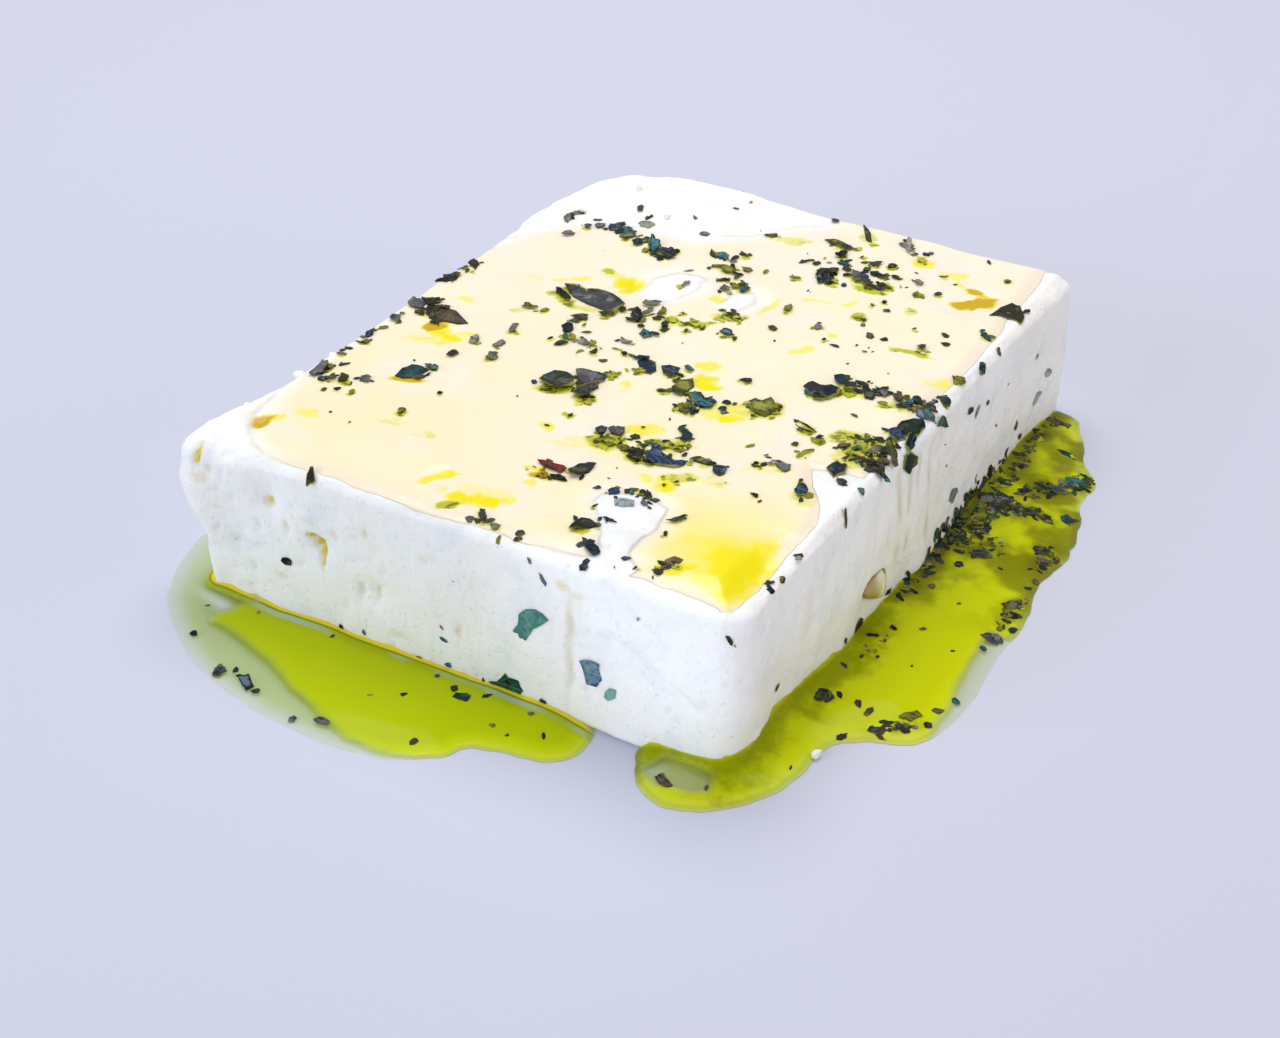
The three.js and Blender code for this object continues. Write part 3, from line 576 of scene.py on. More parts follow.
# Single scraps on the top, by their colour: x, y, length, width, and turn in degrees from +X. A colour
# at the end of a row takes the place of the list's.
LEAVES = {
    "slate": table("""
        -15.6 7.6 8.5 4 -20, -7.9 10.3 2.9 2.3 20, -36.5 -7 3.7 2.8 -45, -5.2 -12.4 2.9 2.2 -40,
        -3 -12 2.8 1.7 20, 6.2 -23.5 2.8 1.9 -65, 16.2 -38.4 2.4 2 15 mist, 3 -49.4 3 1.4 -40,
        13.4 34 4.4 1.9 -50, 28.6 -20 3.3 1.7 -25, -36.3 -30.2 4.4 1.9 -75
    """),
    "navy": table("""
        -14 -2.4 5 2.5 -60, -37 -17.6 4.2 1.9 -65, 4.1 -5.1 3.5 2.2 -50, 14.2 -25.8 5.2 2.6 -25,
        17 -26.2 2.8 1.5 20, 22.4 -25.2 2.4 1.7 80, 34.6 -16.8 3.5 2.2 -55, 33.4 -24.4 3.2 1.7 -60,
        17.9 -49 4.2 1.6 -40, 5.4 8.2 2.7 2 0, -19.9 27 3 1.9 -70, 24.2 0.2 4.6 2.4 0
    """),
    "teal": table("""
        -25.4 -23.8 5 3.6 60, -4 2.2 3.1 1.7 -50, 0.9 -6 4.2 2.5 -50, 12.4 -10.7 2.8 1.8 -60,
        14.3 -19.6 3.9 2 -55, -24.4 29.8 4 1.8 -55, -17.2 27 5.6 2.4 -60, -6.6 29.6 3 2.4 30,
        1.2 21.6 2.9 1.6 75, 36.8 26.2 3 1.2 -40, 25.2 4.2 3 1.8 -30, 39 1.4 3.4 1.8 -50,
        38.2 -2.6 5 3.6 -60 green
    """),
    "olive": table("""
        -21.8 0.5 3 1.5 10, -32.1 -30.2 2.7 1.9 -50, -2.4 -17.4 3.5 1.6 -42, 7.7 -8.6 3.8 2.3 -60,
        10.8 -13.7 3.2 1.6 -55, 19.4 -7.9 4.6 3.6 -45 mossy, 14.8 -23.2 3.2 1.3 -25, 38.2 -8.6 3.4 2.2 -60,
        -4 26 3 2.3 -30, 3.8 13.3 3.8 1.8 -25, 6.8 42.3 5.6 1.8 -12, 8.4 48.2 6.4 1.2 -55,
        23.3 33 2.6 1.7 -50, 30.6 18.3 2.6 1.5 -70, 38.8 12.6 2.8 1.8 -60
    """),
    "dark": table("""
        -20.2 6.4 5 1.9 -40, -7.9 6.4 5 1.8 -60, -7.8 -16.4 5.2 3.5 -25, 7.3 -34 3.7 2 50,
        6.3 -37 3 1.2 -10, 17.8 -35.2 3 1.4 -60, 14.4 -45.2 3.6 2.4 40, -14 25.6 3.7 3 -20,
        9.8 31.6 5.4 2.6 -65, 29.8 2.2 3.3 1.5 -50, 23.4 -38.2 2.6 1.1 50
    """),
    "brown": table("""
        -14.3 1.6 2.7 1.9 35, -30.5 -7.8 5.2 2.3 -35, -33.8 -7.6 4.6 1.3 -55, -3 -14.7 2.8 1.6 15,
        38.6 -13.6 3.6 2.4 -10, 27.5 -46.8 3.5 2.3 70, -37 8.6 4 1.9 -60, 16.4 32 3.2 2 -30,
        37.2 34.5 5.4 3.5 -8, 34 3 3.3 1.3 -70, 36.4 3.6 3 1.4 -45, 4.2 -34.9 4 1.2 -4 red
    """),
    "pale": table("""
        -23.6 -11.4 3 1.4 -70, -18.6 -14.6 2.6 1.7 0, -20.6 -6.4 2.5 1.3 -75, -33.8 29.6 4 1.4 -60,
        22 36.8 2.9 1.4 -50, 15.6 47.4 5 1.3 -65
    """),
}

# The outlines of the largest scraps about their places above, and of those on the front face below
OUTLINES = {
    (-15.6, 7.6): table("-6 1.6, -2.8 1.9, -1.3 3, 1.2 2.8, 4.6 0.6, 4.9 -2.6, 2.5 -2.2, -0.2 -1.9, -3 -1"),
    (-25.4, -23.8): table("-1.3 -2.1, -1.6 0, -1.2 1.7, 0.2 2, 1.6 1.6, 1.5 0.2, 0.9 -1.3, -0.1 -2.1"),
    (14.2, -25.8): table("-1.8 -0.7, -1.7 1, -0.4 0.8, 0.8 0.2, 3.7 -0.6, 2.9 -1.8, 0.7 -2.2, -0.9 -1.8"),
    (24.2, 0.2): table("-2.3 -1, -1.9 1, -0.6 0.6, 0.4 1.9, 1.9 1.3, 2.5 -0.2, 1.9 -2, 0.7 -2.3, -0.3 -2"),
    (0.9, -6): table("-1.9 0.6, -1.1 1.8, 0.3 1.7, 1.6 -0.4, 1.5 -1.7, 0.2 -1.9"),
    (4.1, -5.1): table("-1.7 0.3, -1 1.3, 0.6 1.4, 1.1 -0.5, 0.8 -2, -0.5 -1.2"),
    (7.7, -8.6): table("-1.2 -0.6, -1.1 1.5, 0.3 2.5, 1.3 1, 1.3 -1, 1.2 -2.2, -0.2 -2.1"),
    (12.4, -10.7): table("-2.6 0, -2 0.9, -0.6 0.7, 0.8 0.9, 1.4 -0.8, 0.1 -1.5, -1.2 -0.8"),
    (14.3, -19.6): table("-1.6 0.9, -1.2 1.8, 0.9 0.4, 1.4 -0.9, 1 -2.2, 0 -1.5, -0.2 -0.3"),
    (22.4, -25.2): table("-0.9 -0.3, -0.8 0.9, 0.6 1, 0.9 -0.3, 0.6 -1.4, -0.3 -1.1"),
    (-7.8, -16.4): table("-1.6 0.3, -0.8 1.9, 0.9 2.2, 2.6 1.4, 3.1 -0.1, 2.3 -1.7, 0.8 -1.8, -1.6 -0.7"),
    (-5.2, -12.4): table("-1.4 0.1, -0.3 1.2, 1.8 1.1, 3.1 0.4, 3 -0.9, 1.8 -2.2, 0.2 -2.1"),
    (19.4, -7.9): table("""
        -1.9 0.1, -2.1 1.5, -0.7 1.3, 0 2.5, 1.5 1.1, 2.3 -0.6, 1.5 -2.2, 0.2 -2, -1 -1.3
    """),
    (7.3, -34): table("-1.4 -0.6, -0.6 0.8, 1.2 1.7, 1.3 0, 0.8 -1.7, -0.3 -1.9"),
    (4.2, -34.9): table("-2.6 0, -0.8 0.4, 0.9 0.6, 1.7 0, 1.3 -0.9, -0.2 -0.8, -1.6 -0.5"),
    (25.2, 4.2): table("-1.1 -0.2, -0.5 0.9, 0.8 0.8, 1.1 -0.7, 0.6 -1.9, -0.4 -1.2"),
    (29.8, 2.2): table("-1.2 1, -0.7 1.7, 1.3 -0.1, 1.4 -1.3, 0.3 -1.3"),
    (14.4, -45.2): table("-0.8 -1.7, -1.1 -0.3, -0.8 1.2, 0.3 1.4, 1.6 1, 1 0.1, 0.2 -0.8, -0.3 -1.6"),
    (17.9, -49): table("-1.9 1.2, -0.7 0.9, 0.8 0.4, 1.6 -0.4, 1.2 -1.2, 0.2 -0.9, -1 0.1"),
    (16.2, -38.4): table("-1.3 -0.1, -0.9 0.9, 0.8 1.2, 1.4 0, 0.6 -1, -0.7 -1"),
    (27.5, -46.8): table("-0.8 -0.9, -0.9 0.4, -0.4 1.6, 0.9 1.4, 0.9 0.3, 0.5 -1, -0.1 -1.8"),
    (37.2, 34.5): table("-2.3 -2.2, -1.8 0.7, -1 3, 0.3 2.8, 2 0.3, 2.2 -1.6, 0.8 -1.5, -0.8 -1.7"),
    (38.2, -2.6): table("-1.3 -1.4, -1.3 0.3, -0.4 2.1, 0.7 2.6, 1.5 1.6, 1.6 -0.8, 1 -1.7, 0.2 -3"),
    (34.6, -16.8): table("-1.2 -0.6, -0.7 1.4, 0.9 0.9, 1.4 -0.6, 0.9 -1.4, 0.7 -2.5, -0.3 -1.5"),
    (33.4, -24.4): table("-0.8 -0.5, -0.9 0.8, -0.2 1.5, 0.7 0.4, 1 -0.9, 0.1 -1.3"),
    (28.6, -20): table("-1.8 0.4, -1 0.9, 0.2 0.6, 0.7 0.8, 1.2 -0.6, 1 -1.3, -0.3 -0.8"),
    (-30.5, -7.8): table("-3.8 1.7, -2.2 2.1, 0 2, 3.7 -0.5, 2.6 -1.4, 0.5 -1.4, -0.8 -2.4"),
    ("right", -6.4): table("-1.5 1.9, -0.2 1.7, 1.9 0, 1.8 -1.1, 0.3 -1, -0.4 -1.5, -1.7 -0.2"),
    ("right", 3.4): table("-2.2 1.9, -0.5 1.9, 1.2 0.7, 3.2 -1.8, 1.8 -1.2, -0.4 0.6, -2.4 1.2"),
    ("front", 11.8): table("""
        -1.8 -0.6, -1.6 1, -0.6 2.1, 0.7 2.5, 1.7 2.2, 2.4 1.4, 1.5 0.5, 0.4 -0.4, 0 -1.2, -0.7 -2.5,
        -1.5 -2.4, -1.7 -1.8, -2.5 -1.7
    """),
    ("front", 20.2): table("-1.8 1, -0.6 1.6, 0.9 1.5, 0.9 0.6, 1.4 -0.5, 0.8 -1.6, -0.6 -1.7, -1.1 -0.4"),
    ("front", 22.9): table("-0.2 0.8, 0.7 0.8, 0.7 -0.2, -0.2 -0.9, -0.8 -0.6, -0.7 0.2"),
    ("front", 7.9): table("""
        -2.9 -0.6, -1.6 -0.1, -0.3 1.7, 0.1 1.2, 1.6 1.3, 2.3 0, 1.8 -1.1, 0.5 -1.7, -0.4 -1.3, -1.6 -1
    """),
}

# Other drawn scraps, which lie against those above: the outline of each, by its place and colour
DRAWN_SCRAPS = {
    (36.6, -19.9, "slate"): table("-0.8 0.2, -0.4 1, 0.6 0.6, 0.7 -0.8, 0 -0.8"),
    (11.6, -27.6, "dark"): table("-1.1 -0.4, -0.9 1.2, 0.3 0.9, 0.9 0, 0.7 -1, -0.1 -0.9"),
    (4.4, -24, "slate"): table("-0.8 -0.2, -0.4 0.8, 0.4 0.9, 0.7 -0.5, 0.2 -1"),
    (6.5, -23.2, "slate"): table("-1 0, -0.7 1, 0.3 1.1, 1 -0.2, 0.7 -1.2, -0.4 -0.9"),
    (19.7, -24.3, "dark"): table("-1.9 0, -1.1 0.9, 0.5 0.4, 1.4 0.4, 1.5 -0.4, 0.3 -0.6, -1 -0.6"),
    (17.8, -7.2, "dark"): table("-0.8 -0.1, -0.1 1, 0.7 0, 0.2 -1"),
    (-2.4, -16.7, "dark"): table("-1.6 0.2, -0.5 1.1, 0.6 1.8, 0.6 0, 1.2 -1.7, 0.2 -1.7, -1.1 -1.5"),
    (14, -23.4, "mossy"): table("-2.4 -0.7, -1.7 0.5, -0.2 0.7, 1.4 0.8, 2.3 0.2, 1.6 -0.5, 0.1 -0.2"),
    (6.7, -25.9, "mossy"): table("-1.3 0.2, -0.7 1, 0.7 0.9, 1.1 -0.5, 0.6 -1.2, -0.4 -0.6"),
    (27.5, 1.7, "mossy"): table("-1.2 -0.3, -0.9 1, -0.3 2, 0.8 1, 1.2 -0.8, 0.6 -1.7, -0.3 -1.2"),
    (-1.9, -11, "mossy"): table("-1 0.2, -0.6 0.9, 0.6 0.6, 0.9 -0.7, 0.3 -1.1"),
    (5.9, -36.9, "dark"): table("-1.2 0, -0.3 0.7, 0.9 0.3, 0.8 -0.5, -0.4 -0.5"),
    (3.9, -37.2, "amber"): table("-0.7 -0.3, -0.5 0.7, 0.4 0.5, 0.7 -0.4, 0.2 -0.9"),
    (24.6, -2, "dark"): table("-1 0.4, 0.2 0.7, 1.3 0.3, 0.9 -0.7, -0.3 -0.9"),
    (23.2, -1.4, "teal"): table("-1 0.2, -0.2 0.9, 0.9 0.2, 0.6 -0.7, -0.5 -0.7"),
    (26.6, -9.4, "brown"): table("-1.7 0.5, 0 0.25, 1.8 -0.6, 0.2 -0.05"),
    (26.9, -10.3, "brown"): table("-1.5 0.1, 0 0.2, 1.6 -0.2, 0.1 -0.1"),
    (-18.6, 9.3, "mossy"): table("-3.2 0.9, -2.4 1.3, -0.6 0.8, 0.9 0, 0.6 -0.6, -1.2 -0.1"),
    (38.4, 1.4, "steel"): table("-1.2 0.4, -0.6 1.6, 0.5 1.2, 1.1 -0.6, 0.3 -1.5, -0.7 -0.9"),
    (37.6, -5.4, "navy"): table("-1.3 0.2, -0.6 1.1, 0.9 0.9, 1.4 -0.3, 0.7 -1.4, -0.6 -0.9"),
}

# Scatters of smaller scraps on the top: x, y, spread along x and y, how many, and their longest size
SCATTERS = table("""
    37.6 -11.5 3 3 14 2.6, 31.5 3.4 7 1.8 12 2.5, 39 5 1 4 5 2.6, -1.5 24.5 4.5 5 8 2.6, -5 5.5 4 4 6 2.1,
    12 -25 4 3.4 12 2.1, 12.5 -11 5 3.6 9 2.1, 13 37 8 5 12 2.6, -36.6 -20 1 6 5 2.4,
    -33 -30.5 4.6 3.4 7 2.1, -28 29 7 5 6 2.6, -8 -5 6 4 8 2.4, -6 -15 4 3 7 2.2, 39.4 -41 0.5 6 6 2.2,
    6 -50.4 4.5 0.6 5 1.8, 15 -37 4.5 5 9 1.5, 24 20 11 9 9 1.9, 28 -24 8 7 8 1.7
""")

# Scraps on the upright faces: x, y, z, length, width, turn in degrees from level, and colour
SIDE_LEAVES = table("""
    11.8 -52.5 12.6 5 3.6 48 sea, 20.2 -52.5 8.4 3.2 2.7 -60 steel, 22.9 -52.5 6.3 2.1 1.4 45 sea,
    -25.5 -52.5 9.1 2 1.4 10 green, 7.9 -52.5 1.8 5 3 20 green, 40 -6.4 20.4 3.6 3.4 0 green,
    40 3.4 21 5.4 3.6 0 teal, 13.6 -52.5 19.8 2 0.8 -65 navy, 40 10.5 6.5 3.6 1.8 30 mist,
    40 16.7 16.8 2 1.1 40 mist, 40 42 6.7 3.4 1.6 55 mist, 40 34.8 5.6 2.4 2 40 slate,
    40 45 9.8 3 2.2 -25 mist, 40 -18 1.9 3.6 1.7 10 brown
""")

# Specks on the upright faces: face, place along it, height, length and colour. The first ones were
# washed down to the right face's foot.
FOOT_KINDS = ["dark", "brown", "olive", "slate", "green", "brown"] * 16
SIDE_SPECKS = []
for i, kind in enumerate(FOOT_KINDS):
    along = 17 * (draw(i + 0.2) + draw(i + 0.3))
    SIDE_SPECKS.append(["right", along, 1.1 + 2.4 * draw(i + 0.4) ** 2, 0.8 + 1.6 * draw(i + 0.6), kind])
SIDE_SPECKS += [["front", *row] for row in table("""
    20.9 7.3 1.5 pale, -1.8 7 0.8 red, -1.5 5.2 1.3 teal, -1 1.6 1.5 teal, 13.1 1.2 1.3 dark,
    -5.5 0.9 1.2 brown, -31.6 1.2 1.1 teal, 26.5 18.5 0.7 pale, 38.6 19.4 1.5 brown, -13.8 2 0.9 brown,
    -17.5 1.4 1.1 dark, 11.8 21.9 1.2 pale, 0.4 14.7 0.5 pale, 4.2 1 0.9 dark
""")]
SIDE_SPECKS += [["right", *row] for row in table("""
    20.1 16.6 1.1 navy, 14.4 18.1 1.6 brown, 24.3 10.9 0.8 brown, 19.5 4.4 1.4 olive, 6.5 13.3 0.5 brown,
    5.7 17 0.5 brown, 40.4 14.4 1 brown, 27.6 16 0.6 pale, -39.9 5.3 1.6 dark, -23.2 2.6 1.3 brown,
    -9.6 2.2 1.6 dark, -4 1.9 1.8 brown, 1.6 1.9 1.9 dark, 6 2 2 brown, 12.4 2.2 2.1 slate,
    15.6 2.3 1.9 brown, 19 2.2 2.4 dark, 23.4 2.4 2 brown, 27 2.2 1.8 slate, 31.6 2.6 2.2 brown,
    38 2.2 1.8 brown, -53 18.6 0.6 pale
""")]

# Scraps folded over the top's edge, and one thin stalk: x, y, lean of the edge there, length, width,
# turn, and colour
EDGE_LEAVES = table("""
    40 -5.2 50 4.4 1.9 20 navy, 40 -10.4 45 2.6 1.4 25 brown, 40 6.4 55 2.6 1.7 20 teal,
    40 18.6 45 2.8 1.4 25 teal, 40 -25.2 12 4.2 0.5 80 brown, 40 23.8 40 1.8 1 60 olive,
    -20.9 -52.5 55 3.4 1.3 -60 brown, 18.9 -52.5 60 1.9 1.4 0 slate
""")

# Scraps that float on the pools: x, y, length, width, turn in degrees from +X, and colour
LEFT_FLOATERS = table("""
    4 -56.6 2.8 2 20 teal, -21.5 -67 3.6 2 -20 navy, 8 -64 2.4 1.7 40 olive, -8.5 -68.6 2.6 1.6 10 slate
""")
RIGHT_FLOATERS = table("""
    42 20.6 3.2 2.4 60 slate, 43.9 19.4 3.2 2.2 10 brown, 46 20.6 3 2 -30 dark, 42.6 15.4 3.2 2.2 80 olive,
    44.3 12 2.8 2 20 dark, 42.6 8.8 3 2 70 teal, 46.4 6.8 4.2 2 -15 dark, 45.4 25.4 3.4 2.2 30 dark,
    47.2 27.8 3.2 1.9 -20 dark, 49.4 29 3.4 2 15 slate, 50.6 32.6 3.4 2.2 40 teal,
    50.4 20.2 3.4 2 -20 olive, 53 22.2 3 2.2 -60 teal, 46.8 39.6 3.2 1.6 0 teal, 42.4 47.6 3.2 2.2 20 brown,
    52.6 12.6 3.2 2.4 60 olive, 54.2 10 2.8 1.8 10 brown, 54.4 -2 3.6 2.4 70 brown, 55 -10 2.8 2.2 0 slate,
    53 -31 3 2 30 olive, 50.6 -35.2 3.2 1.8 20 brown, 42.4 -33.2 3.4 2.2 -70 dark, 33 -57.4 3 1.7 -20 brown
""")


def scattered(scatters, seed):
    """The scraps of a list of scatters: x, y, length, width, turn, and a draw for the colour."""
    scraps = []
    for s, (x, y, sx, sy, count, size) in enumerate(scatters):
        for i in range(int(count)):
            n = seed + s * 61 + i * 7
            a, r = 2 * math.pi * draw(n), math.sqrt(draw(n + 1))
            long = size * (0.5 + 0.5 * draw(n + 2))
            wide = long * (0.45 + 0.45 * draw(n + 3))
            px, py = x + sx * r * math.cos(a), y + sy * r * math.sin(a)
            scraps.append([px, py, long, wide, 360 * draw(n + 4), n])
    return scraps


STREWN = ["dark", "olive", "teal", "brown", "navy", "olive", "slate", "dark", "pale", "brown"]


def pick(colours, n):
    """One of several colours, by a draw."""
    return colours[int(draw(n) * len(colours)) % len(colours)]


def top_scraps():
    """Every scrap that lies on the top, in the order of the solid's: those that are in the solid first."""
    rows = [[*leaf[:5], (leaf[5:] or [colour])[0]] for colour, leaves in LEAVES.items() for leaf in leaves]
    rows += [[*scrap[:5], pick(STREWN, scrap[5] + 5)] for scrap in scattered(SCATTERS, 100)]
    in_solid, small = [], []
    for row in rows:
        if abs(row[0]) < WIDTH / 2 - 0.5 and abs(row[1]) < LENGTH / 2 - 2:
            (in_solid if row[2] >= SMALLEST_LEAF else small).append(row)
    return in_solid, small


def torn_leaf(long, wide, seed, between=3, torn=0.34, drawn=None):
    """One scrap about its own middle on z = 0: points, triangles, and each point's place on the leaf."""
    ends = []
    if drawn is None:
        for i in range(6):
            a = (i + 0.35 * draw(seed + i)) / 6 * 2 * math.pi
            r = 0.27 + 0.32 * draw(seed * 1.7 + i * 3.3)
            ends.append(np.array([math.cos(a) * r, math.sin(a) * r]))
    else:
        ends = [np.array([x / long, y / wide]) for x, y in drawn]
        area = sum(a[0] * b[1] - a[1] * b[0] for a, b in zip(ends, ends[1:] + ends[:1]))
        ends = ends if area > 0 else ends[::-1]
    rim = []
    for i, end in enumerate(ends):
        for k in range(between):
            t = k / between
            p = end * (1 - t) + ends[(i + 1) % len(ends)] * t
            tooth = torn * (draw(seed * 3.1 + i * 5.7 + k * 2.3) - 0.5) * (k > 0)
            rim.append(p * (1.02 + tooth))
    rim = np.array(rim)
    count = len(rim)
    rings = [np.zeros((1, 2)), rim * 0.5, rim * 0.86, rim]
    plan = np.concatenate(rings)
    bumps = np.column_stack([plan * (long, wide), np.full(len(plan), seed * 3.7)])
    fold = (draw(seed * 4.4) - 0.35) * 0.5
    curl = (draw(seed * 5.5) - 0.3) * 0.6
    along, across = plan[:, 0], plan[:, 1]
    rise = LEAF_PROUD * (0.5 + 0.3 * draw(seed * 2.3))
    rise = rise + fold * np.abs(across) * wide + curl * along**2 * min(long, 4.0)
    rise += 0.12 * min(wide, 2.0) * noise(bumps, max(0.6, wide * 0.4))
    rise -= 0.04 * (np.hypot(along, across) * 2.2) ** 4
    rise = np.maximum(rise, LEAF_LEAST_MM)
    top = np.column_stack([plan[:, 0] * long, plan[:, 1] * wide, rise])
    bottom = top - (0, 0, min(0.14, 0.05 + 0.03 * long))
    faces = []
    for side, flip in ((0, False), (len(plan), True)):
        for i in range(count):
            j = (i + 1) % count
            fan = [(side, side + 1 + i, side + 1 + j)]
            for k in range(2):
                a, b = side + 1 + k * count + i, side + 1 + k * count + j
                c, d = a + count, b + count
                fan += [(a, c, d), (a, d, b)]
            faces += [f[::-1] if flip else f for f in fan]
    edge = 1 + 2 * count
    for i in range(count):
        j = (i + 1) % count
        a, b, c, d = edge + i, edge + j, len(plan) + edge + i, len(plan) + edge + j
        faces += [(a, c, d), (a, d, b)]
    ring = np.concatenate([[0], np.repeat((0.5, 0.86, 1.0), count)]) * min(1, 0.55 + 0.18 * long)
    where = np.column_stack([plan * 2, np.full(len(plan), draw(seed * 7.7)), ring])
    return np.concatenate([top, bottom]), faces, np.concatenate([where, where])


def laid(shape, place, face, turn):
    """Moves a shape from z = 0 to a place on a surface and turns it about the normal there."""
    face = np.array(face, float)
    across = np.array([1.0, 0, 0]) if abs(face[2]) > 0.99 else np.array([-face[1], face[0], 0])
    across /= np.linalg.norm(across)
    basis = np.array([across, np.cross(face, across), face])
    level_shape = np.column_stack([*turned(shape[:, 0], shape[:, 1], -turn), shape[:, 2]])
    return level_shape @ basis + place


def top_height(x, y):
    """Height of the top's skin, curd or oil, at places in plan."""
    x, y = np.atleast_1d(np.asarray(x, float)), np.atleast_1d(np.asarray(y, float))
    p = np.stack([x, y, np.full_like(x, float(HEIGHT))], 1)
    ones = np.ones(len(x))
    thick, wet_here = oil_at(x, y)
    fine_here, _ = fine_curd(p, ones, np.zeros((len(x), 2)), wet_here)
    return HEIGHT + relief(p, ones) + thick + fine_here * shown_under(thick)


def edge_drop(x, y):
    """How far the round of the top's edge lies below the level top, at places in plan."""
    radius = edge_radius(x, y)
    past = np.clip(1 - np.minimum(WIDTH / 2 - np.abs(x), LENGTH / 2 - np.abs(y)) / radius, 0, 1)
    return radius * (1 - np.sqrt(1 - past**2))


def rim_at(x, y):
    place, normal = outline([x], [y])
    return place, normal, edge_radius(place[:, 0], place[:, 1])


def drape(scraps, height_at):
    """Sets each scrap, point by point, on the surface below it, and adds it to those of its colour."""
    every = np.concatenate([shape[:, :2] for _, shape, _, _ in scraps])
    under = height_at(every[:, 0], every[:, 1])
    first = 0
    for colour, shape, faces, where in scraps:
        shape[:, 2] += under[first : first + len(shape)]
        first += len(shape)
        herbs[colour].append((shape, faces, where))


def pressed(shape, x, y, height, turn):
    """Lays a scrap on an upright face and presses it, point by point, to the curd's relief there."""
    place, normal_here, _ = rim_at(x, y)
    place, facing = np.array([*place[0], height]), np.array([*normal_here[0], 0])
    shape = laid(shape, place, facing, turn)
    under = shape - ((shape - place) @ facing)[:, None] * facing
    flat = np.zeros(len(shape))
    fine_here, _ = fine_curd(under, flat, np.tile(facing[:2], (len(shape), 1)), flat + NO_OIL)
    return shape + (relief(under, flat) + fine_here)[:, None] * facing


# Specks and small bits on the top, read from left to right: x, y, length and colour
SPECKS = table("""
    -34.4 -27 1.9 teal, -30.6 -30.8 1.3 dark, -29 -32.4 1.7 olive, -20.3 -33.4 1.8 olive,
    -28 -38.5 0.6 dark, -24.1 -39.6 0.5 dark, -19 -26.7 1.2 dark, -27 -21 0.7 brown, -23.7 -24.4 2.6 brown,
    -19.8 -11 2.4 slate, -23.7 -16.7 2.1 brown, -36.6 -12 2.8 slate, -36.6 -20.4 1.6 dark,
    -36.8 -22.8 1.7 olive, -31.2 -10.2 1.9 dark, -34.3 -4 1.7 dark, -14.6 -5.9 1.4 dark, -11.3 -2 1.7 slate,
    -8.8 -4.3 1.9 soaked, -5.1 -3.8 1.8 soaked, -2.6 -4.2 1.3 olive, -1.9 -10.6 2.4 soaked,
    -0.9 -22.9 1.1 olive, -2.2 -26.6 0.9 brown, 5.9 -3.4 2 teal, 10.2 -10.3 1.5 dark, 11.3 -10.6 1.5 teal,
    14.2 -2.4 2.2 brown, 17.7 -7 1.6 dark, 10.6 -17 0.8 dark, 13 -17.8 1.7 dark, 8.7 -20.8 0.8 dark,
    4.4 -24 2.4 slate, 6.7 -25.8 2.6 soaked, 16.7 -23.9 1.7 dark, 11 -26.4 1.9 dark, 12.4 -28 1.2 red,
    19 -24.4 2 olive, 20.8 -24.3 1.7 dark, 22.6 -17.8 1.7 olive, 36.6 -19.8 1.9 dark, 39.5 -19.9 1.7 teal,
    34.3 -26.4 1.3 olive, 32.8 -11.3 2.3 brown, 29.4 -11.8 2.9 soaked, 26.3 -10.6 1.2 brown,
    30.8 -3.8 1.2 brown, 29.4 -15.2 2.7 soaked, 27.4 -14.2 1.4 brown, 37 -10.8 2 brown, 40.4 -14.2 2 teal,
    36.2 -8 2 dark, 34.6 -10 1.8 soaked, 29 -28.4 1.6 dark, 30.1 -29.2 1 red, 8.5 -35.6 1.6 dark,
    3.8 -37.4 1.5 brown, 13.6 -36.4 1.9 navy, 15 -35.4 1.5 brown, 11.5 -34 0.7 red, 23.7 -41.3 1.5 brown,
    13.3 -40.5 1.2 brown, 16.4 -42.3 2.2 navy, 18.8 -51.4 1.2 navy, 1.9 -50.5 1.6 slate, 7 -52.2 1.4 olive,
    9.3 -51.2 1.3 brown, 22.5 -48.4 1.6 navy, 24.2 -49.4 1 navy, 22.2 -50.7 0.6 navy, 27.4 -49.4 2 brown,
    -37.4 3 3.2 slate, -12 4.4 2.4 dark, -2.8 5.5 1.8 dark, -4.8 6.9 1.6 brown, -2.6 7.4 1.7 soaked,
    -2.6 10.2 1 slate, -6.4 17.8 2.3 pale, -29.5 28.6 2.2 slate, -30.2 24.4 2.1 slate, -22 33.6 3.2 pale,
    -25 37 2.2 slate, -4 31.6 2.4 teal, -2 25.3 2.4 dark, -2.2 23 1.9 olive, -8.7 23 1.6 slate,
    -12.5 34.6 1.8 slate, -3.4 39.6 2.2 olive, -11.7 43.4 1.4 pale, -14.4 52 1.4 pale, 5.6 11.8 1.6 soaked,
    7.2 7.2 1 slate, 0.6 8.4 2.6 soaked, 9.4 19.4 2.6 olive, 10.4 12.4 1.8 olive, 15.7 16.4 2.4 slate,
    5.8 29 2.2 olive, 4.6 34.2 2.2 teal, 8.4 31.8 2.6 dark, 14.2 39 2.3 slate, 16.6 39 1.6 soaked,
    25.8 34.8 2.2 slate, 18.6 33 1.7 dark, 17.6 45.4 1.8 slate, 19.4 43.8 2.2 soaked, 2.2 50 2 slate,
    28 48.8 1.6 slate, 32.8 44.2 1.6 olive, 27.2 2.8 3 soaked, 31 4.2 2.4 brown, 32.3 4 2 dark,
    35.6 1.4 2 olive, 32.7 0.8 1.9 soaked, 38.2 4.4 2 slate, 19.1 22 2 soaked, 27.4 23.2 1.2 slate,
    31.8 23.5 1.6 olive, 3.6 13.2 3.6 soaked, 24 33.1 2.2 soaked, -2.1 -10.8 2.6 soaked,
    -29.4 31.4 1.6 slate, -16 38 1.3 slate, -11 47 1.2 pale, 6.6 37 1 pale
""")

